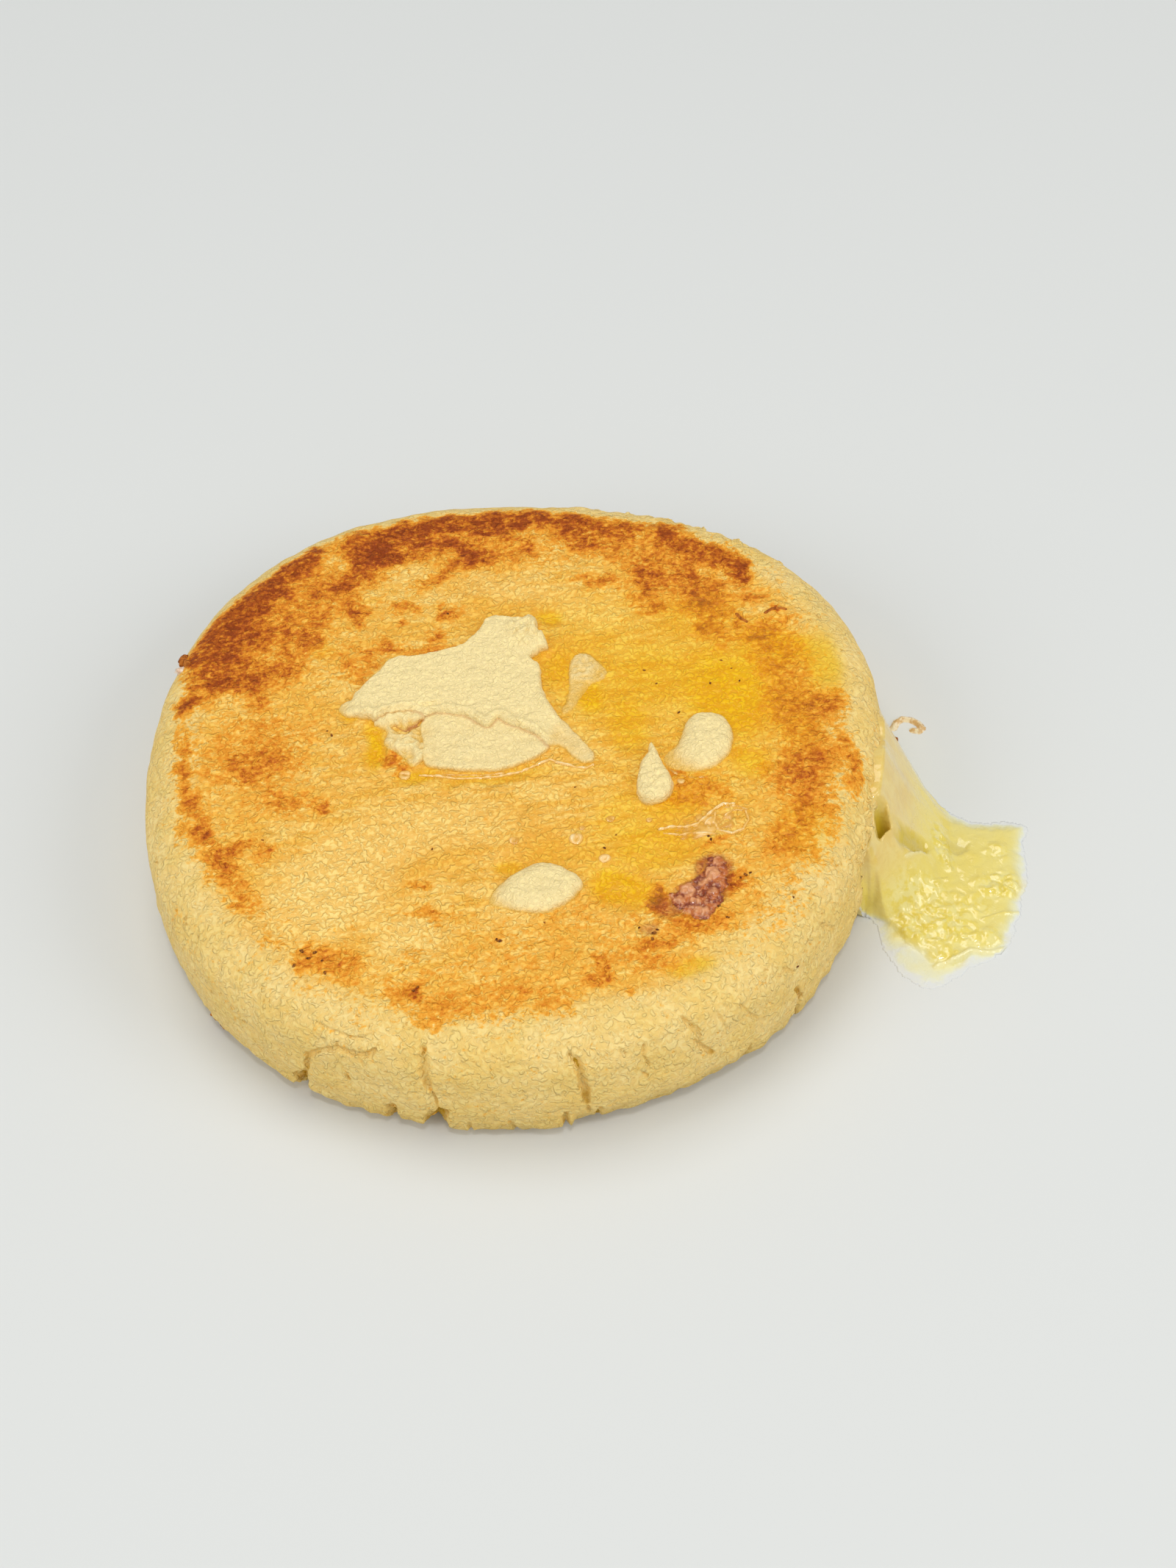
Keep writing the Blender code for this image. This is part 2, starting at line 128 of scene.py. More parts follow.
# Toasted patches on the griddled face: (x, y, half-length, half-width, turn, strength).
TOAST = (
    (-39, 29, 5, 2.6, 35, 1.0), (-34, 34.5, 5, 2.5, 40, 0.95), (-32, 36.5, 2.5, 2, 0, 1.0),
    (-28, 40, 6, 2, 35, 0.85), (-36, 26, 5, 2.5, 30, 0.8), (-42, 21, 3.5, 5, 0, 0.75),
    (-38, 18, 5, 4, 0, 0.7), (-45.5, 14.5, 1.8, 1.5, 0, 0.85), (-30, 24, 3, 4, 0, 0.5),
    (-27, 25, 1.5, 3, 0, 0.6), (-31, 18, 3, 2, 0, 0.5), (-35.5, 13, 1.2, 1.5, 0, 0.6),
    (-20.5, 29.5, 1.5, 4, 10, 0.7), (-25, 29.5, 2, 2.5, 0, 0.55), (-22, 35, 5, 2, 10, 0.75),
    (-17, 41, 4.5, 3.5, 20, 1.0), (-14, 45, 6, 2, 12, 0.95), (-9, 43, 4, 3, 0, 0.75),
    (-13, 39, 3, 2, 0, 0.6), (-4, 40.5, 3, 1.8, -20, 0.8), (-2, 38, 3, 1.5, 0, 0.75),
    (-8, 34, 2.5, 1.8, 20, 0.5), (-6, 36, 3, 1.5, 20, 0.5), (-13, 29, 2, 1.5, 0, 0.45),
    (-14, 25.3, 1.2, 1, 0, 0.55), (-15.5, 21.5, 2, 1.5, -20, 0.5), (-6.7, 26.5, 1, 1.8, -20, 0.7),
    (-9, 21.8, 1.5, 1.2, 0, 0.5), (-12, 19.8, 5, 0.8, -5, 0.5), (-20.5, 18.5, 3, 3, 0, 0.45),
    (-35.5, 5, 7.5, 6, 0, 0.32), (-36, 0.5, 6, 3, 0, 0.36), (-46.2, 0, 1, 9, 0, 0.5),
    (-32, -6.5, 4, 2.4, -15, 0.45), (-26.7, -8.3, 1, 0.8, 0, 0.6), (-44, -6, 1.5, 4, 10, 0.5),
    (-43, -11, 1.5, 3, 20, 0.5), (-40.5, -17, 1.8, 4.5, 25, 0.6), (-38.5, -14, 1.6, 1.2, 0, 0.65),
    (-37, -24, 1.8, 2.5, 35, 0.55), (-35, -15, 1, 2, 0, 0.4), (-31.8, -25, 1.5, 1.7, 0, 0.6),
    (-34, -30, 1.5, 2, 30, 0.4), (-29, -34, 3, 1.8, -20, 0.5), (-24.5, -36, 3, 2.5, 0, 0.4),
    (-14, -24.3, 1.3, 0.8, 0, 0.5), (-13.5, -29.5, 3, 1.2, -10, 0.45), (-17, -41.5, 3, 1.5, 0, 0.38),
    (-15.5, -41.8, 0.8, 1, 0, 0.85), (-13, -45, 3.5, 2, 0, 0.38), (-3, -44.5, 7, 2.8, 0, 0.24),
    (-6, -38, 6, 5, 0, 0.15), (1, -46, 4, 2, 0, 0.16), (4, -37, 6, 4, 0, 0.15),
    (8.5, -42, 1.7, 1.5, 0, 0.6), (15, -41, 4, 1.5, -10, 0.4), (16, -38.5, 3, 1, 0, 0.5),
    (11.5, -46.5, 1.2, 1.2, 0, 0.4), (22, -36, 5, 2, 0, 0.5), (36, -24, 3.5, 4, 0, 0.5),
    (40, -18, 3.5, 4, 0, 0.48), (38, -12, 4, 3, 0, 0.42), (42, -8, 4, 5, 0, 0.45),
    (47, -12, 1.2, 5, 0, 0.5), (40, 0, 4, 4, 0, 0.5), (45.5, 0, 2.5, 2.5, 0, 0.5),
    (40, 10, 3.5, 6, 0, 0.5), (25, -13.5, 4, 2.5, 0, 0.5), (22.5, -9.5, 1.2, 1, 0, 0.5),
    (26, -23, 1.2, 1.2, 0, 0.5), (3, 45, 9, 1.8, -5, 0.95), (5, 41.5, 5, 2, -10, 0.5),
    (7, 38.5, 2.5, 1, 0, 0.6), (2, 36.8, 5, 1.5, 0, 0.45), (13, 43, 4, 2, -25, 0.75),
    (14, 38, 4, 2, -25, 0.6), (17, 41, 4, 1.5, -15, 0.6), (23, 39.5, 3.5, 1.5, -10, 0.6),
    (27.5, 37.5, 2.6, 2.6, 0, 0.85), (22, 34, 3, 3, 0, 0.45), (32, 33.5, 3.5, 2, -20, 0.65),
    (36, 31, 2, 2, 0, 0.6), (37.7, 28, 1.3, 2, 0, 0.9), (28, 31, 5, 2.5, 0, 0.45), (23, 30, 2, 2, 0, 0.5),
    (22.5, 26.5, 2, 3, 0, 0.5), (23.7, 22.5, 1.5, 1.2, 0, 0.6), (27, 27, 4, 3, 0, 0.4),
    (31, 27, 2, 2.5, 0, 0.5), (30, 23, 3, 2.5, 0, 0.5), (33, 22, 3, 3, 0, 0.45),
    (38.5, 22.5, 1.8, 1, 0, 0.6), (41, 19.5, 1.3, 0.4, 0, 0.9), (36, 18.5, 0.5, 1.5, -30, 0.9),
    (31, 18, 2, 2, 0, 0.55), (37, 15.5, 3, 1.5, 0, 0.55), (32, 14, 1.5, 1.3, 0, 0.5),
    (42, 17.5, 2.5, 0.8, 10, 0.4), (16, 29.5, 3, 1, -15, 0.5), (19, 20.8, 1.5, 0.8, 0, 0.3),
    (17, -32, 1.3, 1.8, 0, 0.95), (27.5, -30, 2.5, 1.5, 30, 0.85), (-16.9, -0.8, 1.4, 1.1, -30, 0.7),
    (-15.4, -2.9, 1.3, 1.0, -30, 0.6),
)
TOAST_SOFTNESS = 0.9
# The dark line of toast along the back rim: (corners, strength), and where it fades.
TOASTED_RIM = (
    (((-44, 24), (-40, 29.5), (-35, 35), (-30, 39), (-26, 42.5)), 0.84),
    (((-19, 43), (-14, 44.5), (-8, 46), (0, 45), (5, 45.5), (12, 43)), 0.84),
    (((12, 43), (16, 40.5), (22, 40), (28, 37), (33, 33), (37, 28)), 0.66),
)
RIM_FADE = (1.2 * MM, 3.12 * MM)
# The band of lighter toast inside it: its azimuths, its radii and its strength.
BACK_BAND_AZIMUTHS = (20.0, 45.0, 145.0, 165.0)
BACK_BAND_RADII = (36 * MM, 41 * MM, 46 * MM, 48.5 * MM)
BACK_BAND_TOAST = 0.43
# How the toast's places are shifted about, twice: (size, reach, seed).
TOAST_WARPS = ((3.2 * MM, 1.6 * MM, 30.0), (1.1 * MM, 0.9 * MM, 33.0))
# The griddled face's edge: its radius, its lumps and its softness.
FACE_RADIUS = 46.4 * MM
FACE_EDGE_LUMPS = (1.6 * MM, 6 * MM, 40.0)
FACE_EDGE_SOFTNESS = 2.6 * MM
FACE_LEVELS = (16.5 * MM, 18.3 * MM)
# The toast under the cake: how much, its lumps, its least and most, and where it ends.
UNDER_LEVEL = 10 * MM
UNDER_TOAST = 0.45
UNDER_LUMPS = ((0.9, 9 * MM, 70.0), (0.35, 3 * MM, 71.0))
UNDER_RANGE = (0.05, 0.9)
UNDER_FADE = (46 * MM, 50 * MM)
UNDER_TOP = 0.6 * MM
# Painted shadow on the wall's foot, where it meets the floor: its heights, where it is darkest, how far
# round, and its least.
FOOT_SHADE_HEIGHTS = (0.5 * MM, 8.0 * MM)
FOOT_SHADE_AZIMUTH = -78.0
FOOT_SHADE_HALF_ANGLE = 60.0
FOOT_SHADE_LEAST = 0.25
FOOT_SHADE_RADIUS = 45 * MM

# Broad places that are only just toasted.
PEACH = (
    (-3, -38, 22, 8, 3, 0.9), (30, -30, 9, 9, 0, 0.8), (40, -8, 7, 18, 0, 0.9), (33, 22, 9, 12, 30, 0.8),
    (-36, 2, 10, 16, 0, 0.9), (-30, 24, 14, 10, 35, 0.9), (0, 38, 26, 6, 0, 0.9),
    (-30, -30, 8, 6, -40, 0.7), (26, -14, 6, 5, 0, 0.7), (10, -33, 12, 5, 0, 0.6),
)
PEACH_TOAST = 0.16
PALE_SOFTNESS = 0.6
# Pale places that the griddle missed.
PALE = (
    (-23, 40, 1.5, 4, 10, 0.45), (9.5, 39, 2, 2.5, 0, 0.5), (-12, 36, 4, 2, 0, 0.6),
    (8, 42, 3, 1, 0, 0.5), (-38, 13, 3, 1.5, 0, 0.5), (24, 38, 2, 2, 0, 0.4), (33, 29, 1.5, 2, 0, 0.4),
    (38, 20, 2, 1, 0, 0.4), (-27, -24, 9, 7, 30, 0.95), (-16, -33, 5, 3, 0, 0.8), (-2, -31, 4, 2, 0, 0.6),
    (-12, -14, 11, 4, 0, 0.6), (-20, -17, 6, 3, -15, 0.6), (4, 30, 9, 2.5, -20, 0.6),
    (14, 22, 6, 2.5, -25, 0.6), (-8, 30, 4, 1.5, 0, 0.5),
)
# Where melted butter has soaked in: honey coloured and wet.
MELTED = (
    (32, 4, 6, 9, 0, 1.0), (25, 10, 8, 5, 0, 0.35), (15, 10, 10, 10, 0, 0.4), (16, 14, 18, 12, -20, 0.45),
    (24, -4, 12, 16, 0, 0.4), (12.5, 6.3, 1.8, 3.0, -25, 1.0), (8, 23, 2.0, 1.6, -30, 0.9),
    (8, 12.5, 1.6, 2.4, 0, 0.7), (-19.0, 2.0, 1.3, 4.6, -5, 1.0), (-13, -4.6, 3, 1.3, 0, 0.9),
    (-2, -6.6, 8, 1.1, 0, 0.6), (12.8, -28.6, 5.4, 3.0, -35, 1.0), (-2, -23, 2.5, 1.2, -15, 0.8),
    (18, -23, 7, 4.0, 0, 0.75), (22.5, -15, 3, 2.5, 0, 0.6), (17, 0, 2.5, 5, 0, 0.7),
    (33, -9, 3, 3, 0, 0.8), (42, 12, 3, 3, 0, 0.8), (46, 8, 3, 6, 0, 0.8), (20, -43, 3, 1.5, 0, 0.8),
    (15, -17, 6, 5, 0, 0.6), (38, 12, 4, 6, 0, 0.7), (30, 20, 6, 5, 0, 0.5), (40, 0, 4, 8, 0, 0.5),
    (-21.5, 8.6, 1.5, 1.2, 0, 0.8), (6, -22, 5, 3, 0, 0.4), (38, -22, 4, 5, 0, 0.4),
    (-25.5, 22, 2, 2, 0, 0.4),
)
MELT_SOFTNESS = 0.5
MELT_WARP = (4 * MM, 1.0 * MM, 50.0)
# A stain of butter on the wall: where, and how far it reaches.
STAIN = (-42.1, -22.0, 15.0, 1.6)
# The blistered scorch: purple glassy patches.
SCORCH = (
    (22.6, -31.6, 3.9, 2.6, 20, 1.0), (25.2, -27.6, 2.3, 2.9, 0, 1.0), (18.4, -33.2, 2.0, 1.4, 0, 0.6),
    (15.5, -36.0, 1.2, 1.0, 0, 0.6),
)
SCORCH_SOFTNESS = 0.25
SCORCH_WARP = (1.5 * MM, 0.5 * MM, 60.0)

# Cracks in the wall and the shoulder: (corners as azimuth and height, half-width, depth).
CRACKS = (
    (((-128.5, 2.0), (-126.6, 5.0), (-125.2, 8.5), (-124.7, 12.0), (-122.6, 13.8), (-119.8, 15.4),
      (-117.6, 15.2), (-115.2, 15.7), (-114.2, 16.6)), 0.55, 0.8),
    (((-127.6, 1.0), (-127.0, 5.0), (-126.2, 7.0)), 1.3, 1.8),
    (((-123.7, 17.2), (-120.0, 17.1), (-117.4, 17.0), (-115.6, 17.5), (-114.8, 18.1)), 0.35, 0.35),
    (((-116.8, 15.3), (-115.8, 13.8)), 0.3, 0.3),
    (((-118.5, 10.8), (-118.0, 9.8)), 0.45, 0.9),
    (((-113.0, 1.0), (-112.6, 4.8), (-112.3, 6.6)), 0.9, 1.3),
    (((-107.2, 0.5), (-106.2, 4.0), (-105.3, 6.8)), 1.7, 2.0),
    (((-105.3, 6.8), (-105.8, 10.0), (-106.4, 11.8)), 0.35, 0.6),
    (((-106.5, 11.5), (-107.0, 14.5), (-107.3, 17.4)), 0.8, 0.9),
    (((-88.2, 0.5), (-88.2, 6.2)), 0.6, 1.0),
    (((-84.9, 5.0), (-85.1, 8.0)), 0.4, 0.7),
    (((-85.1, 8.0), (-85.3, 11.0), (-85.6, 14.2), (-85.9, 15.6), (-86.6, 16.8)), 0.75, 1.0),
    (((-83.6, 2.0), (-83.4, 6.6)), 0.5, 0.6),
    (((-79.4, 15.3), (-79.8, 16.6)), 0.4, 0.4),
    (((-76.2, 12.4), (-76.7, 14.5), (-76.4, 16.0)), 0.35, 0.5),
    (((-76.9, 11.4), (-76.3, 10.4)), 0.35, 0.5),
    (((-66.3, 9.2), (-67.6, 10.8), (-68.6, 12.4), (-69.2, 13.8)), 0.6, 0.8),
    (((-68.4, 13.2), (-68.4, 15.0), (-69.9, 17.2)), 0.55, 0.7),
    (((-64.2, 12.4), (-65.1, 16.2)), 0.35, 0.35),
    (((-58.7, 10.8), (-60.4, 13.0), (-61.4, 15.4)), 0.35, 0.4),
    (((-51.0, 13.4), (-52.8, 15.6)), 0.4, 0.4),
    (((-50.2, 1.0), (-50.5, 4.5), (-49.8, 7.5), (-51.2, 10.0)), 0.6, 1.0),
    (((-40.4, 11.4), (-43.2, 15.6)), 0.45, 0.4),
    (((-60.8, 3.0), (-60.2, 6.4)), 0.5, 0.6),
    (((-95.0, 1.0), (-96.0, 5.2)), 0.5, 0.5),
    (((-101.8, 1.0), (-101.6, 4.6)), 0.4, 0.5),
)
# How a crack is drawn: its steps and jitter, its narrow tips, its uneven width and its sharp bottom.
CRACK_STEPS = 4
CRACK_JITTER = (0.25 * MM, 0.8 * MM, 5.0)
CRACK_TIP = 0.45
CRACK_TAPER = 1.6
CRACK_UNEVENNESS = (0.35, 0.9 * MM, 9.0)
CRACK_SHARPNESS = 0.8
CRACK_MARGIN = 3 * MM
SPLIT_MARGIN = 4 * MM
SPLIT_REACHES = (1.0 * MM, 0.3 * MM)
# Where the pocket's skin is, how far in nobody sees it, and how much detail it and the underside keep.
SKIN_DEPTH = 1.2 * MM
SKIN_LEVEL = 1.5 * MM
SKIN_UNSEEN = 45 * MM
SKIN_DETAIL = 0.03
UNDERSIDE_LEVEL = 0.5 * MM
UNDERSIDE_RADIUS = 48 * MM
UNDERSIDE_DETAIL = 0.05
# Where the wall begins, going out, and the face, going up.
WALL_FROM = (44 * MM, 50 * MM)
TOP_FROM = (17.5 * MM, 18.8 * MM)
# Lumps are (height, size, seed). The crust's are on the wall alone, all over, and more on the wall.
WALL_LUMPS = (0.24 * MM, 6.5 * MM, 1.0)
CRUST_LUMPS = ((0.06 * MM, 2.6 * MM, 2.0), (0.05 * MM, 1.5 * MM, 3.0))
WALL_EXTRA = (0.08 * MM, 2.6 * MM, 2.0)
POCKET_LUMPS = (0.15 * MM, 1.6 * MM, 8.5)
FOOT_LUMPS = (0.5 * MM, 2.0 * MM, 7.0)
LIP_LUMPS = (0.4 * MM, 1.7 * MM, 8.0)
LIP_HALF_ANGLE = 30.0
# The torn shoulder at the back: its azimuth, how far round it is whole and gone, its heights and its lumps.
TORN_AZIMUTH = 56.0
TORN_ANGLES = (12.0, 24.0)
TORN_HEIGHTS = (9 * MM, 13 * MM)
TORN_LUMPS = (0.55 * MM, 2.0 * MM, 3.5)
# Upright ripples of the patted wall: (width, length, height, seed).
WALL_RIPPLES = (2.6 * MM, 14 * MM, 0.07 * MM, 4.0)
# The soft fold under the shoulder: azimuths from and to, its height, how deep the wall lies behind it.
FOLD = (-126.0, -58.0, 16.4 * MM, 0.22 * MM)
FOLD_ENDS = 10.0
FOLD_WANDER = (0.5 * MM, 9 * MM, 6.0)
FOLD_BELOW = 0.5 * MM
FOLD_ABOVE = 0.3 * MM
FOLD_HEIGHTS = (8 * MM, 15 * MM)
# Where the foot draws back: azimuths from and to, how far.
FOOT_STEP = (-87.6, -56.0, 0.8 * MM)
FOOT_STEP_STARTS = 0.8
FOOT_STEP_ENDS = 8.0
FOOT_HEIGHTS = (3 * MM, 6.5 * MM)
FOOT_CRUMBLES = (0.1 * MM, 1.5 * MM)

# The butter on the griddled face: outlines seen from above, in order round the piece.
SHEET = (
    (-23.6, 9.4), (-23.2, 10.4), (-22.4, 10.9), (-21.7, 11.0), (-21.3, 12.2), (-20.4, 12.8),
    (-19.0, 14.3), (-17.5, 15.8), (-16.4, 17.3), (-15.3, 18.0), (-14.0, 18.2), (-12.0, 17.9),
    (-9.8, 18.2), (-8.0, 18.4), (-6.0, 18.8), (-4.8, 19.3), (-4.0, 20.2), (-2.8, 21.2), (-2.0, 22.4),
    (-1.4, 23.5), (0.0, 24.1), (1.8, 23.5), (3.1, 23.0), (4.3, 23.1), (5.1, 23.5), (6.1, 22.6),
    (6.3, 21.4), (6.1, 20.2), (6.9, 19.2), (7.3, 17.6), (7.2, 16.6), (6.3, 16.4), (5.6, 15.8),
    (4.7, 15.2), (5.1, 14.2), (5.8, 13.4), (5.8, 11.0), (5.7, 9.5), (5.9, 8.0), (6.2, 6.5), (6.7, 5.0),
    (7.4, 3.6), (8.4, 1.9), (9.3, 0.2), (10.2, -1.4), (11.1, -3.2), (11.8, -4.6), (11.4, -5.9),
    (10.4, -6.0), (9.3, -5.4), (8.5, -4.3), (7.7, -2.9), (6.8, -2.2), (5.9, -2.2), (5.2, -2.4),
    (4.6, -1.3), (3.8, -0.3), (3.0, 0.5), (2.0, 1.2), (1.0, 1.9), (0.0, 2.6), (-0.6, 3.3), (-1.1, 3.8),
    (-1.6, 3.2), (-2.2, 2.5), (-2.9, 2.3), (-3.6, 2.9), (-4.5, 3.7), (-5.4, 4.7), (-6.3, 5.3),
    (-8.0, 5.8), (-10.0, 6.2), (-11.3, 5.9), (-12.2, 6.6), (-13.6, 7.3), (-15.4, 7.3), (-17.2, 6.9),
    (-18.4, 6.3), (-19.2, 7.0), (-20.4, 7.3), (-21.4, 7.7), (-22.5, 8.0),
)
LEAF = (
    (-12.0, 4.9), (-10.5, 6.6), (-6.0, 6.2), (-3.0, 4.4), (0.5, 3.8), (3.4, 1.4), (5.6, -1.9),
    (5.3, -2.9), (4.3, -3.7), (3.0, -4.3), (1.7, -4.7), (0.2, -5.2), (-1.4, -5.5), (-3.2, -5.5),
    (-5.0, -5.2), (-7.0, -4.8), (-9.0, -4.2), (-10.6, -3.7), (-11.8, -3.0), (-12.3, -1.6), (-12.2, 0.0),
    (-12.0, 1.5), (-12.2, 3.2),
)
CRUMPLE = (
    (-18.5, 6.6), (-16.8, 7.6), (-13.5, 7.9), (-11.5, 7.3), (-11.2, 5.8), (-11.8, 3.4), (-11.6, 1.0),
    (-12.0, -1.2), (-12.6, -2.4), (-13.8, -2.8), (-14.4, -2.0), (-15.0, -1.0), (-16.0, 0.3), (-17.0, 1.0),
    (-17.5, 2.4), (-17.0, 4.0), (-17.6, 5.0), (-18.6, 5.7),
)
CREVICE = ((-15.8, 4.8), (-15.0, 4.0), (-14.2, 3.6), (-13.7, 4.4), (-12.8, 4.7), (-11.8, 5.3))
STRAND = (
    (10.1, 13.2), (10.6, 14.4), (11.8, 15.1), (13.2, 14.7), (13.9, 13.5), (14.7, 12.3), (15.3, 11.1),
    (14.7, 9.8), (13.4, 9.3), (12.4, 8.8), (11.5, 7.8), (10.7, 6.4), (10.1, 5.1), (9.4, 4.2), (8.3, 3.8),
    (8.0, 4.6), (8.8, 5.7), (9.3, 7.2), (9.6, 9.0), (9.7, 11.0),
)
ROUND = (
    (27.5, 0.7), (29.4, 0.4), (30.9, -1.2), (31.3, -4.0), (30.7, -6.5), (29.6, -8.2), (27.6, -9.6),
    (25.4, -9.9), (23.0, -9.2), (21.7, -8.1), (21.1, -6.8), (21.9, -5.8), (23.0, -4.9), (24.0, -3.5),
    (24.6, -1.9), (25.3, -0.5), (26.3, 0.4),
)
DROP = (
    (19.8, -4.0), (20.3, -5.0), (20.6, -6.5), (20.9, -8.0), (21.6, -9.8), (21.9, -11.5), (21.6, -13.0),
    (20.8, -14.2), (19.5, -14.9), (18.0, -15.0), (17.0, -14.2), (16.7, -12.8), (16.9, -11.0),
    (17.3, -9.2), (17.8, -7.6), (18.3, -6.7), (19.0, -5.9), (19.3, -4.8),
)
OVAL = (
    (-5.0, -28.2), (-4.2, -26.6), (-2.6, -25.2), (-0.6, -24.0), (1.5, -23.1), (3.6, -23.2), (5.6, -24.4),
    (7.1, -25.9), (7.7, -27.4), (6.7, -28.9), (5.1, -30.3), (3.0, -31.3), (1.0, -31.4), (-1.0, -30.8),
    (-3.0, -30.0), (-4.5, -29.3),
)

# Each pat: (name, the node that it replaces, outline, thickness and the width of its edge in millimetres).
PATS = (
    ("soft_sheet", "butter_sheet", SHEET, 1.25, 0.5),
    ("soft_leaf", "butter_leaf", LEAF, 0.72, 0.3),
    ("soft_crumple", "butter_crumple", CRUMPLE, 0.75, 0.6),
    ("soft_strand", "butter_strand", STRAND, 0.24, 0.7),
    ("soft_round", "butter_round", ROUND, 1.15, 2.4),
    ("soft_drop", "butter_drop", DROP, 1.35, 0.9),
    ("soft_oval", "butter_oval", OVAL, 1.35, 2.3),
)
PAT_RAGGEDNESS = ((0.12 * MM, 1.2 * MM, 88.0), (0.084 * MM, 0.5 * MM, 89.0))
PAT_DIMPLES = ((0.11 * MM, 0.9 * MM, 90.0), (0.15 * MM, 2.5 * MM, 91.0))
DIMPLE_EDGE = 0.5 * MM
# Painted shadow in the crumple's crevice, and on the pats where the sheet's edge lies over them: how wide,
# and how strong.
CREVICE_SHADOW_WIDTH = 0.6 * MM
CREASE_SHADOW = 0.45
CREASE_SHADOW_WIDTH = 0.45 * MM
# The sheet's rolled fold: where it lies at each x.
SHEET_FOLD = ((-18.5, 6.4), (-17.3, 7.3), (-16.0, 7.9), (-13.0, 8.15), (-8.6, 8.1))
# Its knob and the smaller one beside it: (x, y, reach, height in metres).
SHEET_KNOB = (4.6, 19.8, 4.4, 0.55 * MM)
SHEET_SECOND_KNOB = (1.2, 22.4, 2.8, 0.35 * MM)
SHEET_KNOB_LUMPS = (1.5 * MM, 1.25 * MM, 92.0)
SHEET_KNOB_GRAIN = (0.4 * MM, 0.6 * MM, 93.0)
# Its left end: how thin it is there, and where it grows thick. Its right tail: along x less a share of y.
SHEET_END_SHARE = 0.25
SHEET_END = (-23.5, -19.0)
SHEET_TAIL_SLANT = 0.55
SHEET_TAIL = (3.6, 7.2)
SHEET_TAIL_THICKNESS = 0.42 * MM
# How far it steps down below the fold, how sharply, and between which x it does.
SHEET_FOLD_DROP = 0.45 * MM
SHEET_FOLD_STEP = (-0.12, 0.12)
SHEET_FOLD_STARTS = (-20.0, -17.5)
SHEET_FOLD_ENDS = (-10.5, -7.5)
# The rolled lip along its front edge, and how much steeper that edge is.
SHEET_LIP = 0.55 * MM
SHEET_LIP_INSET = 0.9 * MM
SHEET_LIP_WIDTH = 0.7 * MM
SHEET_LIP_ENDS = (7.0, 10.0)
SHEET_LIP_LEAST = 0.5
SHEET_LIP_LUMPS = (1.0, 1.6 * MM, 65.0)
SHEET_EDGE_LOSS = 0.15 * MM
SHEET_EDGE_ENDS = (7.0, 9.5)
# The leaf's ridges: their height, their spacing along y and x, and their wander; and its lower left end.
LEAF_RIDGE = 0.03 * MM
LEAF_SPACING = (5.0, 0.42)
LEAF_WANDER = (2.0, 3.0 * MM, 94.0)
LEAF_END_LOSS = 0.2 * MM
LEAF_END = (-12.0, -9.0)
# The crumple's two rolls: (corners, width), and how wide its crevice is.
CRUMPLE_ROLLS = (
    (((-17.8, 6.2), (-15.0, 6.6), (-12.0, 6.6)), 1.6, 0.8),
    (((-16.6, 2.8), (-14.2, 1.6), (-13.0, -0.8)), 2.0, 0.5),
)
CRUMPLE_LEAST = 0.15
CRUMPLE_LUMPS = (0.7 * MM, 1.3 * MM, 95.0)
CRUMPLE_GRAIN = (0.2 * MM, 0.6 * MM, 96.0)
CREVICE_WIDTH = 0.75 * MM
CREVICE_DEPTH = 1.2
# The strand: where its head begins and ends, how thick its tail and head are, and its lumps.
STRAND_HEAD = (8.0, 11.5)
STRAND_HEAD_ENDS = (12.5, 14.5)
STRAND_THICKNESS = (0.55, 0.7)
STRAND_LUMPS = (0.45 * MM, 1.0 * MM, 97.0)
STRAND_LUMPINESS = (0.3, 0.7)
# The round pat: where it has melted, along x and a share of y, what that does to it, and its dent.
ROUND_MELT_SLANT = 0.45
ROUND_MELT = (19.0, 24.5)
ROUND_MELT_LOSS = 0.75
ROUND_MELT_EDGE = 0.5 * MM
ROUND_DENT = (28.4, -2.5, 1.6, 0.12 * MM)
DROP_LUMPS = (0.45 * MM, 1.5 * MM, 98.0)
DROP_GRAIN = (0.2 * MM, 0.7 * MM, 99.0)
# The oval pat: its soft end, what that does to it, and its crease: (x, y, half-width, half-length, depth).
OVAL_SOFT = (-5.0, -0.5)
OVAL_SOFT_LOSS = 0.7
OVAL_SOFT_EDGE = 1.2 * MM
OVAL_CREASE = (2.2, -27.0, 0.35, 1.8, 0.15 * MM)
OVAL_LUMPS = (0.15 * MM, 1.3 * MM, 87.0)

# The leaked cheese on what the cake stands on: its outline with the thin film, and its thick body's.
POOL = (
    (44.0, 15.5), (50.0, 14.5), (54.4, 12.2), (56.4, 8.6), (57.3, 5.0), (58.0, 1.6), (58.9, -1.4),
    (60.3, -4.4), (62.2, -6.9), (64.9, -8.9), (68.0, -9.9), (71.0, -10.2), (72.9, -11.4), (71.5, -15.6),
    (70.9, -20.0), (69.3, -24.3), (67.9, -28.0), (66.3, -30.5), (65.0, -32.6), (63.1, -33.7),
    (60.1, -34.7), (57.6, -36.2), (54.6, -37.4), (52.2, -37.2), (50.2, -34.6), (49.0, -31.6),
    (48.2, -28.4), (48.4, -25.6), (47.4, -24.5), (46.0, -25.9), (45.0, -27.5), (43.2, -28.5),
    (40.0, -22.0), (38.0, -14.0), (38.0, 0.0),
)
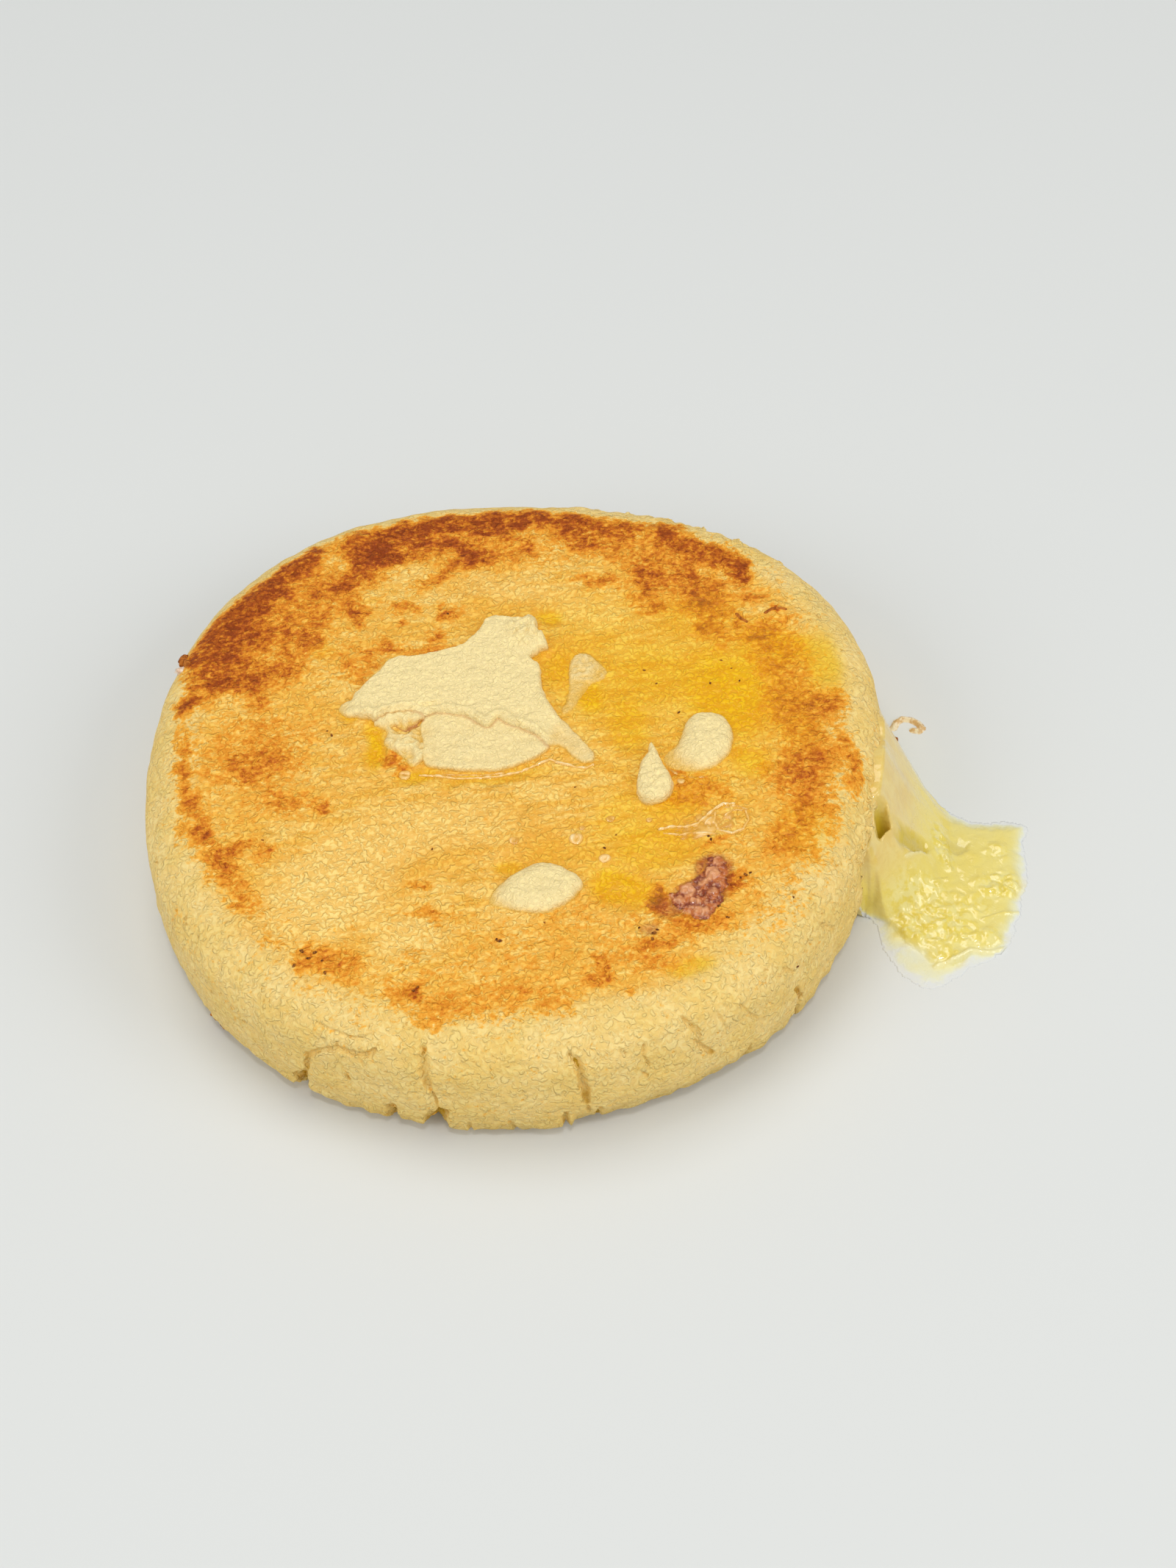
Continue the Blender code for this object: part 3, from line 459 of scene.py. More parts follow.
BODY = (
    (44.0, 15.5), (50.0, 14.5), (54.4, 12.2), (56.4, 8.6), (57.3, 5.0), (58.0, 1.6), (58.9, -1.4),
    (60.3, -4.4), (62.2, -6.9), (64.9, -8.9), (68.0, -9.9), (71.0, -10.2), (72.9, -11.4), (71.5, -15.6),
    (70.9, -20.0), (69.3, -24.3), (67.9, -28.0), (66.3, -30.5), (64.9, -32.5), (62.9, -33.4),
    (60.4, -33.0), (58.9, -33.9), (56.6, -34.5), (54.0, -33.2), (52.2, -31.0), (51.0, -28.7),
    (49.9, -26.4), (48.9, -24.7), (47.5, -24.3), (46.0, -25.8), (45.0, -27.4), (43.2, -28.4),
    (40.0, -22.0), (38.0, -14.0), (38.0, 0.0),
)
# How high the cheese stands at the mouth and how far it slopes out from there: (azimuth, height, reach).
DRAPE = (
    (-33.5, 5.0, 1.5), (-32.6, 8.0, 1.5), (-31.6, 12.0, 1.8), (-30.4, 13.8, 2.0), (-28.5, 14.0, 2.6),
    (-26.0, 12.4, 5.0), (-23.5, 12.2, 8.0), (-20.5, 13.4, 11.0), (-17.5, 14.8, 11.5), (-12.0, 15.4, 11.0),
    (-6.0, 15.4, 10.5), (-2.5, 14.8, 9.5), (0.0, 13.8, 8.5), (3.0, 12.2, 6.5), (6.0, 10.4, 5.0),
    (9.0, 8.0, 4.0), (12.0, 5.2, 3.2), (14.0, 2.6, 2.6), (16.0, 0.4, 2.0),
)
DRAPE_SAG = 1.6
DRAPE_STEEPNESS = 6.0
DRAPE_UNEVENNESS = (0.10, 6 * MM, 83.0)
# The streaks that run down it: (degrees across, length, height, seed), and where they begin.
DRAPE_STREAKS = (3.0, 7 * MM, 0.35 * MM, 84.0)
STREAKS_FROM = (0.5 * MM, 3 * MM)
# The film, the pool's rounded edge and its inner rise: how high, and how far in.
FILM_RISE = (0.15 * MM, 2.5 * MM)
POOL_RISE = (0.55 * MM, 2.4 * MM)
POOL_INNER_RISE = (0.25 * MM, 3 * MM, 8 * MM)
# Where the pool's edge is crisp: how much narrower its rounding is, and the places.
POOL_CRISPNESS = 1.4 * MM
CRISP_PLACES = ((57.5, -34.0, 5.0, 2.5, 0, 1.0), (50.0, -28.0, 3.0, 4.0, 0, 1.0))
POOL_WOBBLE = ((0.35 * MM, 1.6 * MM, 81.0), (0.25 * MM, 0.7 * MM, 82.0))
POOL_WAVES = (0.10 * MM, 2.2 * MM, 79.0)
FILM_WAVES_FROM = (0.5 * MM, 1.5 * MM)
# The least that the film is thick, how far in it begins, and the place at the wall's foot left free of it:
# (azimuth, how far out, how high). Outside the film the cheese has no thickness.
FILM_LEAST = 0.008 * MM
FILM_FROM = 0.1 * MM
FREE_FOOT = (-27.0, 1.3 * MM, 5.5 * MM)
NOTHING = -1 * MM
# Lumps of curd in the cheese: (x, y, half-length, half-width, turn, strength).
CURDS = (
    (54.5, -23.5, 4.5, 3.0, 20, 0.9), (56.5, -28.0, 5.0, 3.2, 0, 1.0), (59.8, -14.8, 1.5, 3.6, 0, 0.9),
    (66.8, -22.0, 3.4, 2.2, 0, 1.0), (57.0, -33.2, 2.4, 1.5, 0, 0.9), (61.5, -25.0, 3.0, 2.0, 0, 0.6),
    (62.0, -30.5, 3.5, 1.6, 0, 0.6), (52.0, -27.5, 2.0, 2.0, 0, 0.8), (67.5, -16.0, 2.0, 1.5, 0, 0.5),
)
CURD_SOFTNESS = 0.5
CURD_FROM = (0.2 * MM, 1.5 * MM)
CURD_RISE = 0.72 * MM
POOL_LUMP_RISE = 0.16 * MM
POOL_LUMP_FROM = (1 * MM, 4 * MM)
CURD_LUMPS = ((1.0, 1.5 * MM, 85.0), (0.3, 0.75 * MM, 86.0))
# Hollows in the cheese: (x, y, half-length, half-width, turn, depth in millimetres).
HOLLOWS = (
    (50.0, -17.6, 1.7, 0.95, 72, 4.5), (54.6, -16.9, 2.6, 1.2, 25, 1.1), (62.0, -14.2, 1.5, 1.2, 0, 0.4),
)
HOLLOW_WARP = (1.3 * MM, 0.6 * MM, 80.0)
# A place by the wall's foot where shade is painted onto the cheese: (x, y, z, how far it reaches), and how
# strongly.
CHEESE_SHADE_PLACE = (46.9, -23.6, 3.0, 2.6)
CHEESE_SHADE_SHARE = 0.8
# How the cheese's underside rises into the mouth, and stands off the floor at the mouth's near lip.
THROAT_RISE = (7.0 * MM, 0.3 * MM, 4 * MM)
LIP_RISE = 5.0 * MM
LIP_AZIMUTHS = (-29.0, -27.0)
LIP_REACH = (0.8 * MM, 1.2 * MM)
# The leaked cheese's grid, where it is hidden in the cake, and how much detail it keeps there.
LEAK_LOW = (36, -39)
LEAK_HIGH = (74.5, 16)
HIDDEN_CHEESE = (-4.5 * MM, -1 * MM, 6 * MM)
HIDDEN_DETAIL = 0.05
CLIMB_HEIGHTS = (3 * MM, 11 * MM)
RIDGE_HEIGHT = 0.5 * MM
# Raised lines of cheese: (corners, half-width, height).
STRANDS = (
    (((53.3, -19.6), (54.9, -18.4), (56.7, -17.1)), 0.27, 0.4),
    (((55.0, -34.2), (56.8, -34.0), (58.5, -33.4), (60.2, -32.4), (62.9, -33.0), (65.4, -32.4)), 0.6,
      0.5),
    (((59.8, -11.9), (60.6, -14.0), (60.0, -16.4), (60.2, -18.4)), 0.4, 0.35),
    (((63.0, -27.5), (66.0, -26.8), (69.0, -26.4)), 0.35, 0.25),
    (((57.0, -21.0), (59.5, -20.0)), 0.3, 0.3),
)

# The scorched skin of milk on the face: its outline and its bubbles as (x, y, radius).
SCORCHED = (
    (18.4, -30.6), (20.3, -29.3), (21.9, -28.2), (23.3, -27.3), (24.1, -25.9), (25.2, -24.8),
    (26.4, -25.2), (27.2, -26.5), (27.7, -28.0), (27.3, -29.6), (26.9, -31.0), (26.3, -32.5),
    (25.6, -33.9), (24.8, -34.9), (23.4, -35.9), (22.0, -35.8), (20.7, -34.9), (19.2, -33.8),
    (18.4, -32.3),
)
BUBBLES = (
    (25.0, -28.3, 1.15), (26.1, -26.4, 1.0), (21.2, -30.6, 1.25), (22.6, -34.7, 1.2), (23.6, -29.4, 0.8),
    (22.1, -32.6, 0.75), (24.6, -31.3, 0.75), (26.4, -30.3, 0.6), (25.2, -33.0, 0.65),
    (19.9, -32.2, 0.75), (23.3, -33.0, 0.5), (25.0, -25.6, 0.6), (22.6, -31.2, 0.5), (20.9, -33.4, 0.5),
)
# The skin of melted butter: raised lines as (corners, half-width, height), and its bubbles.
SKIN_LINES = (
    (((19.0, -19.5), (20.6, -19.2), (22.4, -19.5), (24.2, -19.2), (25.4, -18.2), (26.8, -17.0),
      (28.2, -16.2), (29.6, -16.5)), 0.34, 0.30),
    (((19.4, -20.2), (21.5, -20.8), (23.5, -20.6), (25.0, -21.0), (26.6, -21.4)), 0.28, 0.22),
    (((26.9, -17.6), (26.5, -19.2), (27.0, -20.8), (28.6, -21.6), (30.2, -21.0), (31.2, -19.6),
      (31.0, -18.0)), 0.3, 0.28),
    (((28.2, -18.2), (29.4, -17.5), (30.6, -17.8)), 0.22, 0.25),
    (((28.4, -16.9), (30.0, -16.9), (31.2, -17.7)), 0.24, 0.2),
    (((25.6, -20.2), (25.2, -19.2), (26.2, -18.4)), 0.25, 0.22),
    (((20.4, -20.0), (22.6, -20.1), (24.4, -19.9)), 0.22, 0.16),
    (((-12.8, -4.6), (-10.6, -5.0), (-8.0, -5.9), (-5.0, -6.3), (-2.0, -6.5), (1.0, -6.2), (3.4, -5.3),
      (5.4, -4.5), (6.6, -5.3), (7.8, -5.9), (9.0, -6.6), (10.4, -6.9), (11.3, -6.4)), 0.34, 0.32),
    (((-9.6, -4.9), (-7.0, -5.4), (-4.0, -5.9), (-1.0, -6.0)), 0.25, 0.22),
    (((21.3, -8.3), (22.6, -9.9), (24.6, -10.9), (26.6, -11.0)), 0.5, 0.14),
    (((25.6, -12.3), (26.6, -12.6), (27.0, -11.6)), 0.3, 0.14),
)
SKIN_BUBBLES = (
    (-14.9, -4.2, 0.95), (7.6, -19.4, 1.1), (11.0, -23.4, 0.9), (-0.8, -18.4, 0.8), (8.6, -17.6, 0.5),
    (12.6, -16.6, 0.7), (17.8, -17.6, 0.5), (23.0, -11.2, 0.6),
)
# How bubbles swell and sink in the middle.
BUBBLE_RISE = 0.42
BUBBLE_SINK = 0.45
BUBBLE_SINK_WIDTH = 0.7
# The milk skin: its grid, how its lines and bubbles stand, how uneven it is, its veil and where it ends.
MILK_LOW = (-16.5, -25)
MILK_HIGH = (33, -3)
MILK_LINES = 1.1
MILK_BUBBLES = 0.8
MILK_UNEVENNESS = (1.4, 1.4 * MM, 71.5)
MILK_LEAST = 0.50
MILK_VEIL = 0.13 * MM
VEIL_PLACES = ((25.5, -19.4, 4.8, 2.2, 12, 1.0),)
VEIL_SOFTNESS = 0.45
MILK_SUNK = 0.07 * MM
# The scorched skin: its grid, its ragged edge, its thickness and waves, its fine lumps and its bubbles.
SCORCHED_LOW = (17, -37)
SCORCHED_HIGH = (29, -23.5)
SCORCHED_RAGGEDNESS = (0.35 * MM, 1.1 * MM, 73.0)
SCORCHED_RISE = (0.14 * MM, 1.6 * MM)
SCORCHED_WAVES = (0.8, 0.8 * MM, 74.0)
SCORCHED_FINE = (0.22 * MM, 0.6 * MM, 75.0)
SCORCHED_FINE_FROM = 1.4 * MM
BUBBLE_WARP = (1.0 * MM, 0.55 * MM, 76.0)
BUBBLE_LEAST = 0.55
BUBBLE_UNEVENNESS = (0.8, 1.4 * MM, 77.0)
SCORCHED_SUNK = 0.08 * MM
SCORCHED_OUTSIDE = (-0.2 * MM, 0.3 * MM)
SWOLLEN_FROM = (-0.3 * MM, 0.5 * MM)
# Dark specks of char on the face: (x, y, half-length in millimetres).
SPECKS = (
    (16.0, -36.9, 0.45), (15.7, -37.8, 0.35), (16.5, -36.4, 0.3), (14.2, -35.7, 0.25), (29.3, -29.0, 0.4),
    (30.0, -28.8, 0.3), (28.6, -29.4, 0.25), (25.4, -21.6, 0.35), (25.6, -22.2, 0.35),
    (25.9, -35.8, 0.35), (25.0, -33.7, 0.4), (24.2, -33.5, 0.25), (34.3, -41.4, 0.3), (35.0, -33.5, 0.3),
    (-4.2, -35.2, 0.4), (-4.6, -34.9, 0.3), (-35.0, -13.0, 0.25), (-31.3, -35.2, 0.4),
    (-30.2, -33.0, 0.45), (-28.5, -33.5, 0.4), (-27.3, -37.0, 0.4), (-29.4, -34.3, 0.35),
    (-27.6, -35.0, 0.3), (20.6, 10.5, 0.3), (24.4, 1.5, 0.35), (11.2, -21.6, 0.3), (13.0, -19.6, 0.2),
    (-24.8, 4.9, 0.35), (-25.4, 5.8, 0.2), (-12.0, -18.2, 0.25), (-16.0, -41.5, 0.3),
    (-15.4, -41.0, 0.25), (-6.7, 26.5, 0.3), (22.0, 7.6, 0.25), (29.6, 6.4, 0.3), (33.0, 8.8, 0.2),
    (33.8, 6.2, 0.25), (31.8, 10.6, 0.25), (8.4, -10.1, 0.2), (1.9, -33.0, 0.2),
)
# How large a speck is made, how far it stands up, and how flat the crumbs are.
SPECK_SHARE = 0.62
SPECK_RISE = 0.03
SPECK_FLATNESS = 0.4
CRUMB_FLATNESS = 0.8
FLAKE_FLATNESS = 0.5
# A crumb's form: its length and width, how lumpy it is, and how far each is turned from the one before.
CRUMB_LENGTH = 1.25
CRUMB_WIDTH = 0.75
CRUMB_LUMPINESS = 0.55
CRUMB_LUMP = 0.6
CRUMB_TURN = 77
CRUMB_SINK = 0.35
# Crumbs of masa on the wall: (azimuth, height, half-length in millimetres).
MASA_CRUMBS = (
    (44.5, 16.4, 0.7), (50.5, 16.6, 0.6), (57.0, 16.5, 0.7), (64.0, 16.8, 0.5), (36.0, 16.3, 0.5),
    (-33.6, 12.6, 0.7), (-33.0, 7.6, 0.6), (-29.6, 15.4, 0.8), (-26.6, 15.0, 0.7), (-23.6, 15.4, 0.9),
    (-21.4, 15.8, 0.8), (-18.5, 16.6, 0.7), (-15.0, 16.8, 0.6), (-11.5, 17.0, 0.7), (-57.0, 12.0, 0.5),
)
# Burnt crumbs stuck to the wall: (x, y, z, half-length).
BURNT_CRUMBS = (
    (-43.9, -28.9, 2.2, 1.0), (-43.3, -30.0, 1.5, 0.7), (55.6, 1.2, 8.2, 0.5), (-46.1, 25.3, 16.9, 0.9),
    (-45.4, 23.6, 17.5, 0.8),
)
PALE_FLAKES = ((-46.4, 22.9, 17.1, 0.9), (-46.7, 21.7, 16.7, 0.7))
# Curled flakes of crust on the face, and the curl beside the cake: (corners, half-width, height).
FLAKES = (
    (((39.6, 19.2), (40.6, 19.8), (41.8, 19.8), (42.6, 19.4)), 0.3, 0.4),
    (((35.4, 19.6), (35.8, 18.6), (36.6, 17.8)), 0.3, 0.35),
)
CURL = (
    (((57.7, 10.6), (58.4, 11.7), (59.4, 12.2), (60.6, 11.8), (61.5, 10.9), (61.9, 9.9), (61.3, 9.4),
      (60.5, 9.7)), 0.55, 0.6),
)
# How uneven flakes and the curl are, and where their grids lie.
FLAKE_LEAST = 0.8
FLAKE_UNEVENNESS = (0.5, 0.6 * MM, 66.0)
FLAKE_SUNK = 0.05 * MM
FLAKES_LOW = (34, 16.5)
FLAKES_HIGH = (44, 24)
CURL_UNEVENNESS = (0.4, 0.6 * MM, 67.0)
CURL_LOW = (56.5, 8.2)
CURL_HIGH = (63.4, 13.6)


# ---------------------------------------------------------------- making pieces

def select_only(piece):
    bpy.ops.object.select_all(action="DESELECT")
    piece.select_set(True)
    bpy.context.view_layer.objects.active = piece


def named(name):
    """Names the piece that an operator has just added, and its mesh."""
    piece = bpy.context.object
    piece.name = name
    piece.data.name = name
    return piece


def apply(piece, kind, **settings):
    """Adds a modifier to a piece and applies it."""
    select_only(piece)
    modifier = piece.modifiers.new(kind.lower(), kind)
    for setting, value in settings.items():
        setattr(modifier, setting, value)
    bpy.ops.object.modifier_apply(modifier=modifier.name)


def points_of(piece):
    places = np.empty(len(piece.data.vertices) * 3)
    piece.data.vertices.foreach_get("co", places)
    return places.reshape(-1, 3)


def normals_of(piece):
    facing = np.empty(len(piece.data.vertices) * 3, np.float32)
    piece.data.vertex_normals.foreach_get("vector", facing)
    return facing.reshape(-1, 3).astype(float)


def put_points(piece, places):
    piece.data.vertices.foreach_set("co", np.ascontiguousarray(places).ravel())
    piece.data.update()


def mark(piece, name, values):
    """Keeps a value at each point, for the material to read."""
    attribute = piece.data.attributes.new(name, "FLOAT", "POINT")
    attribute.data.foreach_set("value", np.ascontiguousarray(values, dtype=np.float32))


def pick_faces(piece, wanted):
    """Goes into edit mode with only the wanted faces selected."""
    select_only(piece)
    bpy.ops.object.mode_set(mode="EDIT")
    bpy.ops.mesh.select_mode(type="FACE")
    bpy.ops.mesh.select_all(action="DESELECT")
    bpy.ops.object.mode_set(mode="OBJECT")
    piece.data.polygons.foreach_set("select", np.ascontiguousarray(wanted, dtype=bool))
    bpy.ops.object.mode_set(mode="EDIT")


def face_middles(piece):
    middles = np.empty(len(piece.data.polygons) * 3)
    piece.data.polygons.foreach_get("center", middles)
    return middles.reshape(-1, 3)


def rough(places, size, seed=0.0):
    """Smooth lumps of about one size at each place, from -1 to 1."""
    scaled = places / size + np.array((seed, 3.1 * seed, 1.7 * seed))
    return np.array([noise.noise(place) for place in scaled.tolist()])


def lumpy(places, *lumps):
    """Lumps added up at each place, each given as its height, size and seed."""
    return sum(height * rough(places, size, seed) for height, size, seed in lumps)


def knobbly(places, *lumps):
    """The same with the hollows turned up, so that knobs with creases between them come out."""
    return sum(height * np.abs(rough(places, size, seed)) for height, size, seed in lumps)


def bell(distance, width):
    """1 at the middle, 0 from width on, smooth in between."""
    share = np.minimum(np.abs(distance) / width, 1.0)
    return (1.0 - share * share) ** 2


def ease(value, low, high):
    """0 up to low, 1 from high on, smooth in between."""
    share = np.clip((value - low) / (high - low), 0.0, 1.0)
    return share * share * (3.0 - 2.0 * share)


def fade(value, low, high):
    """1 up to low, 0 from high on, smooth in between."""
    return 1.0 - ease(value, low, high)


def plateau(value, start, full, fading, end):
    """0 up to start, 1 from full to fading, 0 from end on."""
    return ease(value, start, full) * fade(value, fading, end)


def turn_between(azimuth, middle):
    return (azimuth - middle + 180.0) % 360.0 - 180.0


def outline_wave(azimuth):
    """How far the hand-patted outline stands out of its circle at an azimuth in degrees."""
    return sum(height * np.cos((waves * azimuth - phase) * DEG) for waves, height, phase in OUTLINE_WAVES)


def azimuth_of(places):
    return np.degrees(np.arctan2(places[:, 1], places[:, 0]))


def patches(places, spots, soft=0.35):
    """How strongly a set of oval spots covers each place, seen from above."""
    bare = np.ones(len(places))
    for x, y, half_length, half_width, turn, strength in spots:
        along_x = places[:, 0] / MM - x
        along_y = places[:, 1] / MM - y
        cosine, sine = math.cos(turn * DEG), math.sin(turn * DEG)
        out = np.hypot(
            (along_x * cosine + along_y * sine) / half_length,
            (along_y * cosine - along_x * sine) / half_width,
        )
        bare *= 1.0 - strength * (1.0 - ease(out, 1.0 - soft, 1.0 + soft))
    return 1.0 - bare


def distance_to_path(places, corners):
    """The distance from each place to a path through corners."""
    nearest = np.full(len(places), np.inf)
    for start, end in zip(corners[:-1], corners[1:]):
        run = np.array(end) - np.array(start)
        share = np.clip((places - start) @ run / (run @ run), 0.0, 1.0)
        nearest = np.minimum(nearest, np.linalg.norm(places - start - share[:, None] * run, axis=1))
    return nearest


def rounded(corners, steps=5):
    """A closed outline through corners, as a smooth run of many short sides."""
    corners = np.array(corners, float)
    before, after, beyond = np.roll(corners, 1, 0), np.roll(corners, -1, 0), np.roll(corners, -2, 0)
    runs = []
    for step in range(steps):
        share = step / steps
        runs.append(0.5 * (
            2 * corners + (after - before) * share
            + (2 * before - 5 * corners + 4 * after - beyond) * share ** 2
            + (3 * corners - before - 3 * after + beyond) * share ** 3))
    return np.stack(runs, axis=1).reshape(-1, 2)


def inside_of(places, corners):
    """How far inside a closed outline each place lies, seen from above, in metres; less than 0 outside."""
    flat = places[:, :2]
    loop = rounded(corners) * MM
    loop = np.concatenate((loop, loop[:1]))
    within = np.zeros(len(flat), bool)
    for start, end in zip(loop[:-1], loop[1:]):
        crossed = (start[1] > flat[:, 1]) != (end[1] > flat[:, 1])
        level = (flat[:, 1] - start[1]) / ((end[1] - start[1]) or 1.0)
        within ^= crossed & (flat[:, 0] < start[0] + (end[0] - start[0]) * level)
    away = distance_to_path(flat, loop)
    return np.where(within, away, -away)


def edge_rise(inside, width):
    """A rounded edge: below 0 outside, 0 at the outline, 1 from width inwards on."""
    share = np.clip(inside / width, 0.0, 1.0)
    return np.sqrt(1.0 - (1.0 - share) ** 2) + np.minimum(inside, 0.0) / width


def flattened(places):
    """The places, all put at z = 0."""
    flat = places.copy()
    flat[:, 2] = 0.0
    return flat


def face_level(places):
    """The height of the griddled face at each place."""
    return HEIGHT + rough(flattened(places), TOP_LUMP) * TOP_UNEVENNESS / 2


def under_face(places):
    """Just under the griddled face, where the pieces that lie on it end unseen."""
    return np.full(len(places), HEIGHT - ROOT_DEPTH)


def floor_level(places):
    return np.zeros(len(places))


def top_level(places):
    """The height of the face and of the shoulder round it at each place."""
    flat_radius = RADIUS - SHOULDER_WIDTH
    radius = np.hypot(places[:, 0], places[:, 1]) - outline_wave(azimuth_of(places))
    over = np.clip((radius - flat_radius) / SHOULDER_WIDTH, 0.0, 1.0)
    return face_level(places) - SHOULDER_DROP * (1.0 - np.sqrt(1.0 - over ** 2))


def lines_height(places, lines):
    """The height of raised lines at each place, in metres."""
    raised = np.zeros(len(places))
    for corners, half_width, height in lines:
        away = distance_to_path(places[:, :2], np.array(corners) * MM)
        raised = np.maximum(raised, height * MM * bell(away, half_width * MM))
    return raised


def bubbles_height(places, bubbles):
    """The height of round bubbles at each place, in metres: domes, a little sunk in the middle."""
    raised = np.zeros(len(places))
    for x, y, radius in bubbles:
        away = np.hypot(places[:, 0] - x * MM, places[:, 1] - y * MM) / (radius * MM)
        dome = np.sqrt(np.maximum(1.0 - away ** 2, 0.0)) - BUBBLE_SINK * bell(away, BUBBLE_SINK_WIDTH)
        raised = np.maximum(raised, BUBBLE_RISE * radius * MM * dome)
    return raised


def film(name, low, high, step, thickness_of, ground_of, base_of):
    """A soft piece lying on something: a fine grid raised by its thickness, cut off where that ends."""
    width, length = (high[0] - low[0]) * MM, (high[1] - low[1]) * MM
    bpy.ops.object.select_all(action="DESELECT")
    bpy.ops.mesh.primitive_grid_add(
        x_subdivisions=round(width / step), y_subdivisions=round(length / step), size=1.0,
        location=((low[0] + high[0]) * MM / 2, (low[1] + high[1]) * MM / 2, 0.0))
    piece = named(name)
    piece.scale = (width, length, 1.0)
    bpy.ops.object.transform_apply(location=True, rotation=False, scale=True)
    places = points_of(piece)
    thickness = thickness_of(places)
    mark(piece, "thickness", thickness / MM)
    places[:, 2] = np.maximum(ground_of(places) + thickness, base_of(places) + SLIVER)
    put_points(piece, places)
    corners = np.empty(len(piece.data.loops), np.int32)
    piece.data.loops.foreach_get("vertex_index", corners)
    pick_faces(piece, thickness[corners.reshape(-1, 4)].max(axis=1) < FILM_CUT)
    bpy.ops.mesh.delete(type="FACE")
    bpy.ops.object.mode_set(mode="OBJECT")
    top = points_of(piece)
    close_below(piece, top, base_of)
    piece.data.shade_smooth()
    flatten_sides(piece, len(top))
    return piece


def close_below(piece, top, base_of):
    """Gives a film its sides and its underside."""
    apply(piece, "SOLIDIFY", thickness=MM, offset=-1.0)
    places = points_of(piece)
    places[len(top):] = top
    places[len(top):, 2] = base_of(top)
    put_points(piece, places)
    facing = np.empty(len(piece.data.polygons) * 3, np.float32)
    piece.data.polygons.foreach_get("normal", facing)
    pick_faces(piece, facing.reshape(-1, 3)[:, 2] < FACING_DOWN)
    bpy.ops.mesh.dissolve_faces()
    bpy.ops.object.mode_set(mode="OBJECT")


def flatten_sides(piece, top_count):
    """Shades a film's sides flat, so that its top keeps its own shading right up to the edge."""
    corners = np.empty(len(piece.data.loops), np.int32)
    piece.data.loops.foreach_get("vertex_index", corners)
    starts = np.empty(len(piece.data.polygons), np.int32)
    piece.data.polygons.foreach_get("loop_start", starts)
    pick_faces(piece, np.maximum.reduceat(corners, starts) >= top_count)
    bpy.ops.mesh.faces_shade_flat()
    bpy.ops.object.mode_set(mode="OBJECT")


# ---------------------------------------------------------------- the crust

def arc(centre, radii, start, end, steps):
    for step in range(1, steps + 1):
        angle = (start + (end - start) * step / steps) * DEG
        yield centre[0] + radii[0] * math.cos(angle), centre[1] + radii[1] * math.sin(angle)


def cake_profile():
    """Radius and height from the top's middle, down the side, to the underside's middle."""
    facet = RADIUS - SHOULDER_WIDTH
    profile = [(0.0, HEIGHT), (facet, HEIGHT)]
    profile += arc((facet, HEIGHT - SHOULDER_DROP), (SHOULDER_WIDTH, SHOULDER_DROP), 90, 0, SHOULDER_STEPS)
    profile += [(RADIUS + WALL_BULGE, BULGE_LEVEL), (RADIUS, FOOT_RISE)]
    profile += arc((RADIUS - FOOT_WIDTH, FOOT_RISE), (FOOT_WIDTH, FOOT_RISE), 0, -90, FOOT_STEPS)
    return profile + [(0.0, 0.0)]


def turned(name, profile, steps):
    """A closed form turned round Z, its first and last corners on the axis."""
    bpy.ops.object.select_all(action="DESELECT")
    bpy.ops.mesh.primitive_plane_add(size=MM)
    piece = named(name)
    bpy.ops.object.mode_set(mode="EDIT")
    bpy.ops.mesh.merge(type="CENTER")
    at = Vector((0.0, 0.0, 0.0))
    for number, (radius, height) in enumerate(profile):
        corner = Vector((radius, 0.0, height))
        if number:
            bpy.ops.mesh.extrude_region_move(TRANSFORM_OT_translate={"value": corner - at})
        else:
            bpy.ops.transform.translate(value=corner - at)
        at = corner
    bpy.ops.mesh.select_all(action="SELECT")
    bpy.ops.mesh.spin(steps=steps, angle=2 * math.pi, center=(0, 0, 0), axis=(0, 0, 1))
    bpy.ops.mesh.select_all(action="SELECT")
    bpy.ops.mesh.remove_doubles(threshold=WELD_DISTANCE)
    bpy.ops.mesh.normals_make_consistent(inside=False)
    bpy.ops.object.mode_set(mode="OBJECT")
    return piece


def pocket():
    """The hollow that the cheese fills, with a torn mouth in the side."""
    bpy.ops.object.select_all(action="DESELECT")
    bpy.ops.mesh.primitive_uv_sphere_add(segments=POCKET_SEGMENTS, ring_count=POCKET_RINGS, radius=1.0)
    piece = named("pocket")
    ball = points_of(piece)
    turn = np.arctan2(ball[:, 1], ball[:, 0])
    azimuth = MOUTH_AZIMUTH + (turn - POCKET_CROWDING * np.sin(turn)) / DEG
    share = np.hypot(ball[:, 0], ball[:, 1])
    mouth = bell(turn_between(azimuth, MOUTH_AZIMUTH), MOUTH_HALF_ANGLE) ** MOUTH_OPENING
    reach = SLAB_RADIUS + (RADIUS + outline_wave(azimuth) + TONGUE_REACH - SLAB_RADIUS) * mouth
    half = SLAB_HALF + (MOUTH_HALF_HEIGHT - SLAB_HALF) * mouth * share ** MOUTH_FLARE
    along = np.stack((azimuth / MOUTH_TEAR, np.zeros_like(azimuth), np.zeros_like(azimuth)), axis=1)
    middle, half_angle, extra = MOUTH_HOLE
    tear = MOUTH_RAGGEDNESS * rough(along, 1.0) + extra * bell(turn_between(azimuth, middle), half_angle)
    half += np.where(ball[:, 2] > 0.0, tear * mouth * share, 0.0)
    put_points(piece, np.stack((
        reach * share * np.cos(azimuth * DEG),
        reach * share * np.sin(azimuth * DEG),
        SLAB_MIDDLE + half * squared(ball[:, 2]),
    ), axis=1))
    return piece


def squared(level):
    """A ball's levels, made those of a slab with rounded edges."""
    return np.sign(level) * np.abs(level.round(6)) ** SLAB_SQUARENESS


